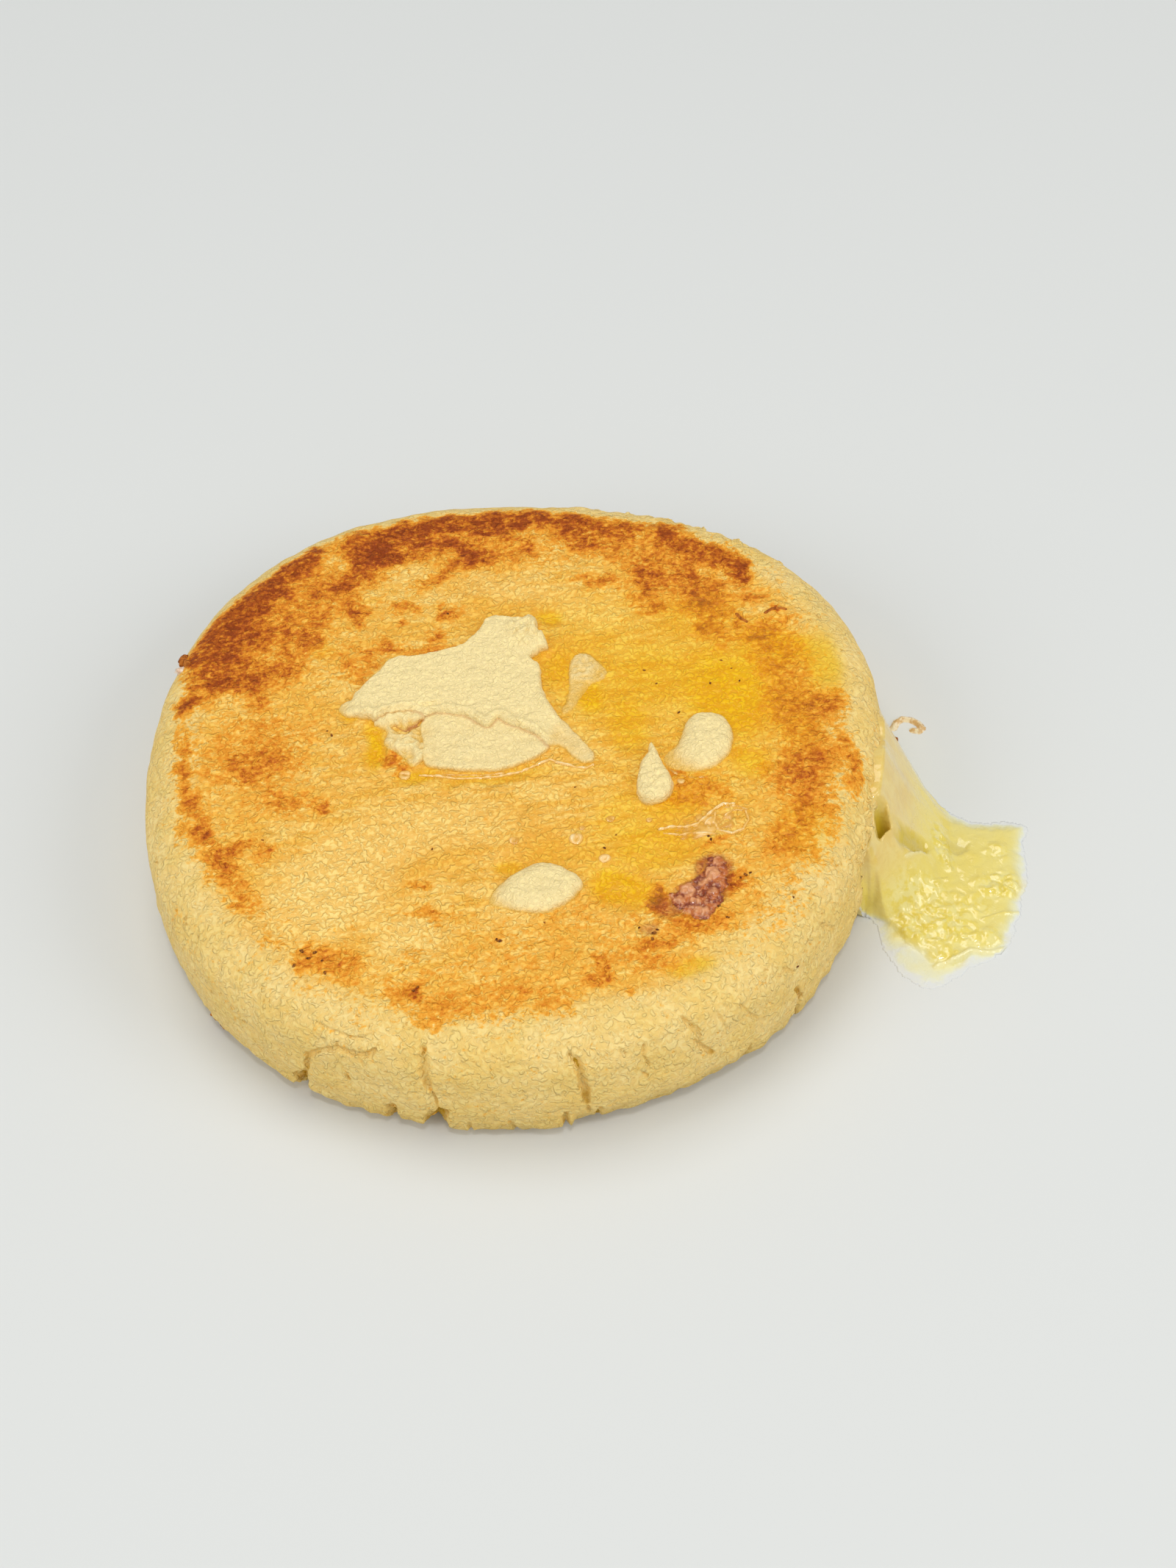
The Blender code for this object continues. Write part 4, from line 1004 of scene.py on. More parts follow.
def wall_radius(height):
    """The wall's radius at a height, before it is pushed out of round."""
    rise = np.clip((height - (HEIGHT - SHOULDER_DROP)) / SHOULDER_DROP, 0.0, 1.0)
    sink = np.clip((FOOT_RISE - height) / FOOT_RISE, 0.0, 1.0)
    return (RADIUS - SHOULDER_WIDTH * (1.0 - np.sqrt(1.0 - rise ** 2))
            - FOOT_WIDTH * (1.0 - np.sqrt(1.0 - sink ** 2)))


def on_wall(azimuth, height):
    """A place on the wall for an azimuth in degrees and a height in millimetres."""
    radius = wall_radius(height * MM) + outline_wave(azimuth)
    return np.array((radius * math.cos(azimuth * DEG), radius * math.sin(azimuth * DEG), height * MM))


def crack_paths():
    """Each crack as a finely stepped path on the wall, a little jagged."""
    jitter, size, seed = CRACK_JITTER
    for number, (corners, half_width, depth) in enumerate(CRACKS):
        path = []
        for start, end in zip(corners[:-1], corners[1:]):
            for step in range(CRACK_STEPS):
                share = step / CRACK_STEPS
                azimuth = start[0] + (end[0] - start[0]) * share
                height = start[1] + (end[1] - start[1]) * share
                path.append(on_wall(azimuth, height))
        path.append(on_wall(*corners[-1]))
        path = np.array(path)
        for axis in range(3):
            path[:, axis] += jitter * rough(path, size, seed + axis + number)
        yield path, half_width * MM, depth * MM


def near_path(places, path, margin):
    """Which places lie in the box round a path."""
    return np.all((places > path.min(axis=0) - margin) & (places < path.max(axis=0) + margin), axis=1)


def carve_cracks(places, paths):
    """How deep the cracks are at each place."""
    carved = np.zeros(len(places))
    for path, half_width, depth in paths:
        near = near_path(places, path, CRACK_MARGIN)
        if not near.any():
            continue
        close = places[near]
        ends = np.minimum(np.linalg.norm(close - path[0], axis=1), np.linalg.norm(close - path[-1], axis=1))
        width = half_width * (CRACK_TIP + (1.0 - CRACK_TIP) * ease(ends, 0.0, CRACK_TAPER * half_width))
        width = width * (1.0 + lumpy(close, CRACK_UNEVENNESS))
        cut = depth * np.maximum(1.0 - distance_to_path(close, path) / width, 0.0) ** CRACK_SHARPNESS
        carved[near] = np.maximum(carved[near], cut)
    return carved


def subdivide_near(piece, paths, reach):
    """Splits the faces near the cracks, so that the cracks have crisp edges."""
    middles = face_middles(piece)
    wanted = np.zeros(len(middles), bool)
    for path, half_width, _ in paths:
        close = np.flatnonzero(near_path(middles, path, SPLIT_MARGIN))
        wanted[close[distance_to_path(middles[close], path) < half_width + reach]] = True
    pick_faces(piece, wanted)
    bpy.ops.mesh.subdivide(number_cuts=1)
    bpy.ops.object.mode_set(mode="OBJECT")


def thin_out(piece, wanted, ratio):
    """Takes detail out of faces that nobody sees."""
    pick_faces(piece, wanted)
    bpy.ops.mesh.decimate(ratio=ratio)
    bpy.ops.object.mode_set(mode="OBJECT")


def in_pocket(places):
    """Which places lie on the hidden pocket's skin."""
    radius = np.hypot(places[:, 0], places[:, 1]) - outline_wave(azimuth_of(places))
    deep = radius < wall_radius(places[:, 2]) - SKIN_DEPTH
    return deep & (places[:, 2] > SKIN_LEVEL) & (places[:, 2] < HEIGHT - SKIN_LEVEL)


def crust():
    """The corn cake itself: turned, patted out of round, hollowed, and fine enough to carry its grain."""
    piece = turned("crust", cake_profile(), TURN_STEPS)
    places = points_of(piece)
    places[:, :2] *= 1.0 + outline_wave(azimuth_of(places))[:, None] / RADIUS
    put_points(piece, places)
    hollow = pocket()
    apply(piece, "BOOLEAN", operation="DIFFERENCE", object=hollow)
    bpy.data.objects.remove(hollow)
    apply(piece, "REMESH", mode="VOXEL", voxel_size=CRUST_GRAIN)

    middles = face_middles(piece)
    unseen = in_pocket(middles) & (np.hypot(middles[:, 0], middles[:, 1]) < SKIN_UNSEEN)
    thin_out(piece, unseen, SKIN_DETAIL)
    middles = face_middles(piece)
    under = (middles[:, 2] < UNDERSIDE_LEVEL) & (np.hypot(middles[:, 0], middles[:, 1]) < UNDERSIDE_RADIUS)
    thin_out(piece, under, UNDERSIDE_DETAIL)
    paths = list(crack_paths())
    for reach in SPLIT_REACHES:
        subdivide_near(piece, paths, reach)

    shape_crust(piece, paths)
    colour_crust(piece)
    piece.data.shade_smooth()
    return piece


def shape_crust(piece, paths):
    """Lumps, grain, the fold, the foot and the cracks."""
    places = points_of(piece)
    facing = normals_of(piece)
    azimuth = azimuth_of(places)
    height = places[:, 2]
    flat = flattened(places)
    side = ease(np.hypot(places[:, 0], places[:, 1]), *WALL_FROM)
    wall = side * fade(height, *TOP_FROM)

    out = wall * lumpy(places, WALL_LUMPS) + lumpy(places, *CRUST_LUMPS) + side * lumpy(places, WALL_EXTRA)
    torn = side * fade(np.abs(turn_between(azimuth, TORN_AZIMUTH)), *TORN_ANGLES)
    torn *= ease(height, *TORN_HEIGHTS)
    out += torn * knobbly(places, TORN_LUMPS)
    width, length, ripple, seed = WALL_RIPPLES
    upright = np.stack((azimuth * RADIUS * DEG / width, height / length, np.zeros(len(places))), axis=1)
    out += ripple * wall * rough(upright, 1.0, seed)

    start, end, line, step = FOLD
    along = plateau(azimuth, start, start + FOLD_ENDS, end - FOLD_ENDS, end)
    wander = line + lumpy(flat, FOLD_WANDER)
    behind = fade(height, wander - FOLD_BELOW, wander + FOLD_ABOVE)
    out -= step * along * behind * ease(height, *FOLD_HEIGHTS)

    start, end, back = FOOT_STEP
    foot = fade(height, *FOOT_HEIGHTS)
    out -= back * foot * plateau(azimuth, start, start + FOOT_STEP_STARTS, end - FOOT_STEP_ENDS, end)
    out += side * foot * ease(height, *FOOT_CRUMBLES) * lumpy(places, FOOT_LUMPS)

    lips = wall * bell(turn_between(azimuth, MOUTH_AZIMUTH), LIP_HALF_ANGLE)
    out += lips * lumpy(places, LIP_LUMPS)

    out -= carve_cracks(places, paths)
    out = np.where(in_pocket(places), lumpy(places, POCKET_LUMPS), out)
    places = places + facing * out[:, None]
    upper = np.maximum(height / HEIGHT - 0.5, 0.0)
    places[:, 2] += rough(flat, TOP_LUMP) * TOP_UNEVENNESS * upper
    places[:, 2] = np.maximum(places[:, 2], 0.0)
    put_points(piece, places)
    mark(piece, "crack", carve_cracks(places, paths) / MM)


def warped(places, size, reach, seed):
    """The places, shifted about so that what is laid out on them gets uneven edges."""
    flat = flattened(places)
    shifted = places.copy()
    shifted[:, 0] += reach * rough(flat, size, seed)
    shifted[:, 1] += reach * rough(flat, size, seed + 20.0)
    return shifted


def colour_crust(piece):
    """Where the face is toasted, pale, wet with butter or scorched, and where a shadow is painted on the
    wall's foot.
    """
    places = points_of(piece)
    height = places[:, 2]
    radius = np.hypot(places[:, 0], places[:, 1])
    azimuth = azimuth_of(places)
    uneven = places
    for warp in TOAST_WARPS:
        uneven = warped(uneven, *warp)
    upper = ease(height, *FACE_LEVELS)
    pale = patches(uneven, PALE, PALE_SOFTNESS)

    toast = patches(uneven, TOAST, TOAST_SOFTNESS)
    for corners, strength in TOASTED_RIM:
        away = distance_to_path(uneven[:, :2], np.array(corners) * MM)
        toast = np.maximum(toast, strength * fade(away, *RIM_FADE))
    band = plateau(azimuth, *BACK_BAND_AZIMUTHS) * plateau(radius, *BACK_BAND_RADII)
    toast = np.maximum(toast, BACK_BAND_TOAST * band)
    toast = np.where(height > UNDER_LEVEL, toast * upper, under_toast(places, radius))
    toast = np.maximum(toast, PEACH_TOAST * patches(uneven, PEACH, PALE_SOFTNESS) * upper)
    mark(piece, "toast", toast * (1.0 - pale))
    mark(piece, "pale", pale * upper)

    edge = FACE_RADIUS + lumpy(places, FACE_EDGE_LUMPS) + outline_wave(azimuth)
    mark(piece, "face", fade(radius, edge - FACE_EDGE_SOFTNESS, edge + FACE_EDGE_SOFTNESS) * upper)
    x, y, z, reach = STAIN
    stain = bell(np.linalg.norm(places - np.array((x, y, z)) * MM, axis=1), reach * MM)
    melt = patches(warped(places, *MELT_WARP), MELTED, MELT_SOFTNESS)
    mark(piece, "melt", np.maximum(melt * upper, stain))
    mark(piece, "scorch", patches(warped(places, *SCORCH_WARP), SCORCH, SCORCH_SOFTNESS) * upper)
    mark(piece, "hollow", in_pocket(places).astype(float))
    # Painted shadow on the wall's foot, strongest at the front, kept as "foot".
    front = bell(turn_between(azimuth, FOOT_SHADE_AZIMUTH), FOOT_SHADE_HALF_ANGLE)
    shade = fade(height, *FOOT_SHADE_HEIGHTS) * (FOOT_SHADE_LEAST + (1.0 - FOOT_SHADE_LEAST) * front)
    mark(piece, "foot", shade * (radius > FOOT_SHADE_RADIUS))


def under_toast(places, radius):
    """The underside has been on the griddle too."""
    spots = np.clip(UNDER_TOAST + lumpy(places, *UNDER_LUMPS), *UNDER_RANGE)
    return spots * fade(radius, *UNDER_FADE) * (places[:, 2] < UNDER_TOP)


# ---------------------------------------------------------------- cheese, butter and what lies on the face

def slab():
    """The slab of cheese inside the cake."""
    bpy.ops.object.select_all(action="DESELECT")
    bpy.ops.mesh.primitive_uv_sphere_add(segments=CHEESE_SEGMENTS, ring_count=CHEESE_RINGS, radius=1.0)
    piece = named("cheese")
    ball = points_of(piece)
    lift = squared(ball[:, 2])
    put_points(piece, np.stack((
        CHEESE_RADIUS * ball[:, 0], CHEESE_RADIUS * ball[:, 1], SLAB_MIDDLE + CHEESE_HALF * lift), axis=1))
    mark(piece, "thickness", np.full(len(ball), CHEESE_HALF / MM))
    return piece


def beyond_wall(places):
    """How far each place lies outside the wall, less than 0 inside it."""
    return np.hypot(places[:, 0], places[:, 1]) - RADIUS - outline_wave(azimuth_of(places))


def cheese_height(places):
    """The leaked cheese: a thin film, a pool with curds in it and the drape that climbs to the mouth."""
    azimuth = azimuth_of(places)
    beyond = beyond_wall(places)
    wobble = lumpy(places, *POOL_WOBBLE)
    film_in = inside_of(places, POOL) + wobble
    body_in = inside_of(places, BODY) + wobble
    top = pool_height(places, film_in, body_in)
    drape = np.minimum(drape_height(places, azimuth, beyond), np.maximum(body_in, 0.0) * DRAPE_STEEPNESS)
    across, length, high, seed = DRAPE_STREAKS
    streaks = np.stack((azimuth / across, beyond / length, np.zeros(len(places))), axis=1)
    top += drape + high * rough(streaks, 1.0, seed) * ease(drape, *STREAKS_FROM)

    curd = patches(places, CURDS, CURD_SOFTNESS) * ease(body_in, *CURD_FROM)
    rise = CURD_RISE * curd + POOL_LUMP_RISE * ease(body_in, *POOL_LUMP_FROM)
    top += rise * knobbly(places, *CURD_LUMPS)
    top += knobbly(places, POOL_WAVES) * ease(film_in, *FILM_WAVES_FROM)
    top += lines_height(places, STRANDS)
    shifted = warped(places, *HOLLOW_WARP)
    for x, y, half_length, half_width, turn, depth in HOLLOWS:
        hollow = patches(shifted, ((x, y, half_length, half_width, turn, 1.0),), CURD_SOFTNESS)
        top -= depth * MM * hollow * ease(top, 0.0, MM)
    free_azimuth, free_reach, free_height = FREE_FOOT
    free = (azimuth < free_azimuth) & (beyond < free_reach) & (top < free_height)
    return np.where((film_in > FILM_FROM) & ~free, np.maximum(top, FILM_LEAST), NOTHING)


def pool_height(places, film_in, body_in):
    """The film and the pool, for how far each place lies inside the outline of either."""
    rise, width = FILM_RISE
    pool = rise * ease(film_in, 0.0, width)
    rise, width = POOL_RISE
    soft = width - POOL_CRISPNESS * patches(places, CRISP_PLACES, CURD_SOFTNESS)
    pool += rise * ease(body_in / soft, 0.0, 1.0)
    rise, start, end = POOL_INNER_RISE
    return pool + rise * ease(body_in, start, end)


def drape_height(places, azimuth, beyond):
    """How high the cheese stands on its way down from the mouth."""
    mouth, heights, reaches = zip(*DRAPE)
    stand = np.interp(azimuth, mouth, heights) * MM
    share = np.clip(beyond / (np.interp(azimuth, mouth, reaches) * MM), 0.0, 1.0)
    return stand * (1.0 - share) ** DRAPE_SAG * (1.0 + lumpy(places, DRAPE_UNEVENNESS))


def cheese_base(places):
    """The leaked cheese's underside: on the floor outside, and off it in the mouth."""
    beyond = beyond_wall(places)
    rise, start, end = THROAT_RISE
    lip = LIP_RISE * fade(azimuth_of(places), *LIP_AZIMUTHS) * fade(beyond, *LIP_REACH)
    return np.maximum(rise * ease(-beyond, start, end), lip)


def cheese():
    """The cheese: the slab inside, the drape out of the mouth and the pool."""
    inner = slab()
    leaked = film(
        "leaked_cheese", LEAK_LOW, LEAK_HIGH, CHEESE_GRAIN, cheese_height, floor_level, cheese_base)
    middles = face_middles(leaked)
    deep_in, just_in, low = HIDDEN_CHEESE
    beyond = beyond_wall(middles)
    thin_out(leaked, (beyond < deep_in) | ((beyond < just_in) & (middles[:, 2] < low)), HIDDEN_DETAIL)
    places = points_of(leaked)
    mark(leaked, "curd", patches(places, CURDS, CURD_SOFTNESS))
    # Painted shade in the hollows and by the wall's foot, kept as "deep".
    sunk = [spot[:5] + (min(1.0, spot[5]),) for spot in HOLLOWS]
    deep = patches(warped(places, *HOLLOW_WARP), sunk, CURD_SOFTNESS)
    x, y, z, reach = CHEESE_SHADE_PLACE
    near_foot = bell(np.linalg.norm(places - np.array((x, y, z)) * MM, axis=1), reach * MM)
    mark(leaked, "deep", np.maximum(deep, CHEESE_SHADE_SHARE * near_foot))
    # Painted highlight along the first two raised lines.
    mark(leaked, "ridge_highlight", lines_height(places, STRANDS[:2]) / RIDGE_HEIGHT)
    mark(leaked, "climb", ease(places[:, 2], *CLIMB_HEIGHTS))
    for name in ("curd", "deep", "ridge_highlight", "climb"):
        mark(inner, name, np.zeros(len(inner.data.vertices)))
    select_only(inner)
    leaked.select_set(True)
    bpy.ops.object.join()
    inner.data.shade_smooth()
    return inner


def butter_pat(name, outline, thickness, edge, shape_of):
    """A pat of soft butter on the griddled face, with shadow painted into its crevice and where another
    lies on it.
    """
    corners = np.array(outline)

    def thickness_of(places):
        inside = inside_of(places, outline) + lumpy(places, *PAT_RAGGEDNESS)
        thick = np.full(len(places), thickness * MM)
        width = np.full(len(places), edge * MM)
        thick, width = shape_of(places, thick, width)
        dimples = lumpy(places, *PAT_DIMPLES) * ease(inside, 0.0, DIMPLE_EDGE)
        return thick * edge_rise(inside, width) + dimples

    low, high = corners.min(axis=0) - 1, corners.max(axis=0) + 1
    piece = film(name, low, high, BUTTER_GRAIN, thickness_of, face_level, under_face)
    places = points_of(piece)
    # Painted shadow in the crevice, and on the other pats along the sheet's edge.
    crevice_shadow = bell(distance_to_path(places[:, :2], np.array(CREVICE) * MM), CREVICE_SHADOW_WIDTH)
    if outline is not SHEET:
        crevice_shadow = np.maximum(crevice_shadow, CREASE_SHADOW * bell(inside_of(places, SHEET), CREASE_SHADOW_WIDTH))
    mark(piece, "crevice_shadow", crevice_shadow)
    return piece


def sheet_shape(places, thick, width):
    """The big sheet: thin tails at both ends, a rolled fold and a crumbly knob at one corner."""
    x, y = places[:, 0] / MM, places[:, 1] / MM
    thick = thick * (SHEET_END_SHARE + (1 - SHEET_END_SHARE) * ease(x, *SHEET_END))
    tail = ease(x - SHEET_TAIL_SLANT * y, *SHEET_TAIL)
    thick = thick * (1 - tail) + SHEET_TAIL_THICKNESS * tail
    fold = np.interp(x, *zip(*SHEET_FOLD))
    below = fade(y - fold, *SHEET_FOLD_STEP) * fade(x, *SHEET_FOLD_ENDS)
    thick = thick - SHEET_FOLD_DROP * below * ease(x, *SHEET_FOLD_STARTS)
    knob_x, knob_y, reach, high = SHEET_KNOB
    lumps = knobbly(places, SHEET_KNOB_LUMPS) + lumpy(places, SHEET_KNOB_GRAIN)
    thick = thick + bell(np.hypot(x - knob_x, y - knob_y), reach) * (high + lumps)
    knob_x, knob_y, reach, high = SHEET_SECOND_KNOB
    thick = thick + bell(np.hypot(x - knob_x, y - knob_y), reach) * high
    lip = bell(inside_of(places, SHEET) - SHEET_LIP_INSET, SHEET_LIP_WIDTH) * fade(y, *SHEET_LIP_ENDS)
    thick = thick + SHEET_LIP * lip * (1 - tail) * (SHEET_LIP_LEAST + knobbly(places, SHEET_LIP_LUMPS))
    return thick, width - SHEET_EDGE_LOSS * fade(y, *SHEET_EDGE_ENDS) * (1 - tail)


def leaf_shape(places, thick, width):
    """The leaf: lower at its left end, with fine ridges drawn along it by the knife."""
    x, y = places[:, 0] / MM, places[:, 1] / MM
    along, across = LEAF_SPACING
    ridges = LEAF_RIDGE * np.sin(y / across + x / along + lumpy(places, LEAF_WANDER))
    return thick - LEAF_END_LOSS * fade(x, *LEAF_END) + ridges, width


def crumple_shape(places, thick, width):
    """The crumple: two rolls with a deep crevice between them."""
    flat = places[:, :2]
    rolls = CRUMPLE_LEAST
    for corners, reach, high in CRUMPLE_ROLLS:
        rolls = rolls + high * bell(distance_to_path(flat, np.array(corners) * MM), reach * MM)
    crevice = bell(distance_to_path(flat, np.array(CREVICE) * MM), CREVICE_WIDTH)
    lumps = knobbly(places, CRUMPLE_LUMPS) + lumpy(places, CRUMPLE_GRAIN)
    return (thick * rolls + lumps) * (1 - CREVICE_DEPTH * crevice), width


def strand_shape(places, thick, width):
    """The small half-melted curl: a lumpy head and a thin tail."""
    x, y = places[:, 0] / MM, places[:, 1] / MM
    head = ease(y, *STRAND_HEAD)
    lumps = knobbly(places, STRAND_LUMPS)
    least, more = STRAND_THICKNESS
    smooth, lumpier = STRAND_LUMPINESS
    body = thick * (least + more * head * fade(x, *STRAND_HEAD_ENDS))
    return body + lumps * (smooth + lumpier * head), width


def round_shape(places, thick, width):
    """The round pat: it fades into its own melt towards one side, and has a dent."""
    x, y = places[:, 0] / MM, places[:, 1] / MM
    melt = fade(x + ROUND_MELT_SLANT * y, *ROUND_MELT)
    dent_x, dent_y, reach, depth = ROUND_DENT
    dent = bell(np.hypot(x - dent_x, y - dent_y), reach)
    return thick * (1 - ROUND_MELT_LOSS * melt) - depth * dent, width + ROUND_MELT_EDGE * melt


def drop_shape(places, thick, width):
    """The drop-shaped pat: lumpy all over."""
    lumps = knobbly(places, DROP_LUMPS) + lumpy(places, DROP_GRAIN)
    return thick + lumps, width


def oval_shape(places, thick, width):
    """The oval pat: domed, with a thin soft end and a small crease."""
    x, y = places[:, 0] / MM, places[:, 1] / MM
    soft = fade(x, *OVAL_SOFT)
    crease_x, crease_y, across, along, depth = OVAL_CREASE
    crease = bell(np.hypot((x - crease_x) / across, (y - crease_y) / along), 1.0)
    lumps = lumpy(places, OVAL_LUMPS)
    body = thick * (1 - OVAL_SOFT_LOSS * soft) - depth * crease
    return body + lumps, width + OVAL_SOFT_EDGE * soft


def milk_skin():
    """Lines and bubbles of melted butter that have set on the griddled face."""
    def thickness_of(places):
        raised = MILK_LINES * lines_height(places, SKIN_LINES)
        raised = np.maximum(raised, MILK_BUBBLES * bubbles_height(places, SKIN_BUBBLES))
        raised = np.maximum(raised, MILK_VEIL * patches(places, VEIL_PLACES, VEIL_SOFTNESS))
        return raised * (MILK_LEAST + knobbly(places, MILK_UNEVENNESS)) - MILK_SUNK

    return film("milk_skin", MILK_LOW, MILK_HIGH, MILK_GRAIN, thickness_of, face_level, under_face)


def scorched_skin():
    """The blistered skin of scorched milk."""
    def thickness_of(places):
        inside = inside_of(places, SCORCHED) + lumpy(places, SCORCHED_RAGGEDNESS)
        rise, width = SCORCHED_RISE
        skin = rise * ease(inside, 0.0, width) * (1 + lumpy(places, SCORCHED_WAVES))
        fine = knobbly(places, SCORCHED_FINE) * ease(inside, 0.0, SCORCHED_FINE_FROM)
        swollen = bubbles_height(warped(places, *BUBBLE_WARP), BUBBLES)
        swollen *= (BUBBLE_LEAST + knobbly(places, BUBBLE_UNEVENNESS)) * ease(inside, *SWOLLEN_FROM)
        return skin + fine + swollen - SCORCHED_SUNK * fade(inside, *SCORCHED_OUTSIDE)

    return film(
        "scorched_skin", SCORCHED_LOW, SCORCHED_HIGH, SKIN_GRAIN, thickness_of, face_level, under_face)


def crumbs(name, spots, flatness):
    """Little lumps in one mesh, each a place and a half-length in millimetres."""
    lumps = []
    for number, (x, y, z, size) in enumerate(spots):
        bpy.ops.object.select_all(action="DESELECT")
        bpy.ops.mesh.primitive_ico_sphere_add(subdivisions=3, radius=size * MM)
        lump = named(name)
        places = points_of(lump)
        places *= 1 + lumpy(places, (CRUMB_LUMPINESS, CRUMB_LUMP * size * MM, 7.0 + number))[:, None]
        turned_by = np.array(Matrix.Rotation(number * CRUMB_TURN * DEG, 3, "Z"))
        places = (places * (CRUMB_LENGTH, CRUMB_WIDTH, flatness)) @ turned_by.T
        put_points(lump, places + np.array((x, y, z)) * MM)
        lump.data.shade_smooth()
        lumps.append(lump)
    select_only(lumps[0])
    for lump in lumps[1:]:
        lump.select_set(True)
    bpy.ops.object.join()
    return lumps[0]


def specks():
    """Specks of char lying on the face."""
    spots = []
    for x, y, size in SPECKS:
        at = np.array(((x * MM, y * MM, 0.0),))
        spots.append((x, y, top_level(at)[0] / MM + SPECK_RISE, SPECK_SHARE * size))
    return crumbs("char_specks", spots, SPECK_FLATNESS)


def masa_crumbs():
    """Crumbs of masa that stand out of the torn shoulder and the mouth's lips."""
    spots = []
    for azimuth, height, size in MASA_CRUMBS:
        x, y, z = on_wall(azimuth, height) / MM
        sunk = 1 - CRUMB_SINK * size / math.hypot(x, y)
        spots.append((x * sunk, y * sunk, z, size))
    return crumbs("masa_crumbs", spots, CRUMB_FLATNESS)


def curled_flakes():
    """Dark curled flakes of crust on the face."""
    def thickness_of(places):
        return lines_height(places, FLAKES) * (FLAKE_LEAST + knobbly(places, FLAKE_UNEVENNESS)) - FLAKE_SUNK

    return film("curled_flakes", FLAKES_LOW, FLAKES_HIGH, FLAKE_GRAIN, thickness_of, face_level, under_face)


def fried_curl():
    """A little fried curl of cheese lying beside the cake."""
    def thickness_of(places):
        return lines_height(places, CURL) * (FLAKE_LEAST + knobbly(places, CURL_UNEVENNESS)) - FLAKE_SUNK

    return film("fried_curl", CURL_LOW, CURL_HIGH, CURL_GRAIN, thickness_of, floor_level, floor_level)


# ---------------------------------------------------------------- materials

NUMBER, COLOUR, PLACE = "NodeSocketFloat", "NodeSocketColor", "NodeSocketVector"

# Where a pattern turns from one colour into the other: over a wide, middling or narrow band of values.
WIDE = (0.3, 0.7)
MIDDLING = (0.35, 0.65)
NARROW = (0.40, 0.60)

# The crumb's grain: fine noise whose middle values become rounded lumps, over broader noise.
CRUMB_ROUNDING = (0.0, 0.16)
CRUMB_BROAD_SCALE = 0.3
CRUMB_HEIGHT_SHARES = (0.10, 0.9, 0.35)
CRUMB_SHADE_SHARES = (0.6, 0.4)

# The dough's colours: bare, in its pores, painted shade in its cracks, inside the pocket, and the painted
# shadow that darkens its foot.
BARE_DOUGH = ((0.88, 0.66, 0.25, 1), (0.85, 0.61, 0.19, 1))
PORE = (0.60, 0.33, 0.06, 1)
PORE_VALUES = (0.66, 0.72, 0.0, 0.6)
PAINTED_CRACK_SHADE = (0.58, 0.34, 0.05, 1)
CRACK_DEPTHS = (0.05, 0.8)
POCKET_DOUGH = (0.62, 0.38, 0.03, 1)
FOOT_SHADE = (0.76, 0.74, 0.58, 1)
# Painted shade in the grain's dips and painted highlight on its crests, over the grain's own uneven tone:
# where the crumb's shade turns, and what the colour is multiplied by.
GRAIN_SHADE = (0.15, 0.8)
GRAIN_DIP_SHADE = (0.93, 0.81, 0.62, 1)
GRAIN_CREST_HIGHLIGHT = (1.05, 1.08, 1.14, 1)
# How rough the dough is, how much smoother its face and its wet places are, and how wet they shine.
DOUGH_ROUGHNESS = 0.60
FACE_SMOOTHER = 0.16
WET_SMOOTHER = 0.2
WET_COAT = 0.22
WET_FLATTER = 0.5
CRUMB_SIZE = 0.9 * MM

# The griddled face's colours: streaked, clouded, pale, and then browner and browner as it is toasted.
GRIDDLED_STREAKS = ((0.95, 0.64, 0.17, 1), (0.88, 0.49, 0.07, 1))
GRIDDLED_CLOUD = (0.88, 0.48, 0.065, 1)
CLOUD_VALUES = (0.4, 0.7)
PALE_DOUGH = (0.97, 0.69, 0.22, 1)
PALE_STRENGTH = 0.9
BROWNS = (
    (0.0, (0.92, 0.55, 0.10)),
    (0.20, (0.90, 0.45, 0.055)),
    (0.38, (0.82, 0.325, 0.022)),
    (0.56, (0.64, 0.195, 0.010)),
    (0.74, (0.46, 0.105, 0.006)),
    (1.0, (0.29, 0.052, 0.003)),
)
BROWN_FROM = (0.05, 0.22)
TOAST_STRENGTH = 0.95
# How far each pattern swings the toast: in proportion to it, and everywhere.
MOTTLE_SWING = (0.95, 0.40)
FIBRE_SWING = (1.0, 0.40)
FLECK_SWING = (0.95, 0.46)
# Butter that has soaked in: what it multiplies the face by, and the honey colour that it adds.
SOAKED = (0.93, 0.85, 0.02, 1)
HONEY = (0.85, 0.46, 0.0, 1)
HONEY_SHARE = 0.35
SCORCH_LIGHT = (0.62, 0.22, 0.05, 1)
SCORCH_DARK = (0.28, 0.05, 0.015, 1)
SCORCH_RED = (0.42, 0.09, 0.01, 1)
SCORCH_RED_VALUES = (0.45, 0.6)
SCORCH_STRENGTH = 0.92

# The cheese: its colours from the thinnest film to thick, its curds, its drape, the shade painted into its
# hollows and the highlight painted on its ridges.
CHEESE_FULL_THICKNESS = 1.4
CHEESE_COLOURS = (
    (0.0, (0.72, 0.73, 0.70)),
    (0.04, (0.735, 0.74, 0.65)),
    (0.09, (0.76, 0.75, 0.54)),
    (0.24, (0.80, 0.74, 0.38)),
    (0.50, (0.81, 0.69, 0.22)),
    (0.80, (0.83, 0.67, 0.15)),
)
CURD_COLOURS = ((0.80, 0.63, 0.08, 1), (0.87, 0.78, 0.32, 1))
CURD_STRENGTH = 0.7
DRAPE_COLOURS = ((0.78, 0.54, 0.12, 1), (0.82, 0.62, 0.19, 1))
CHEESE_HOLLOW_SHADE = (0.62, 0.45, 0.02, 1)
RIDGE_HIGHLIGHT_CHEESE = (0.88, 0.84, 0.52, 1)
RIDGE_HIGHLIGHT_STRENGTH = 0.55
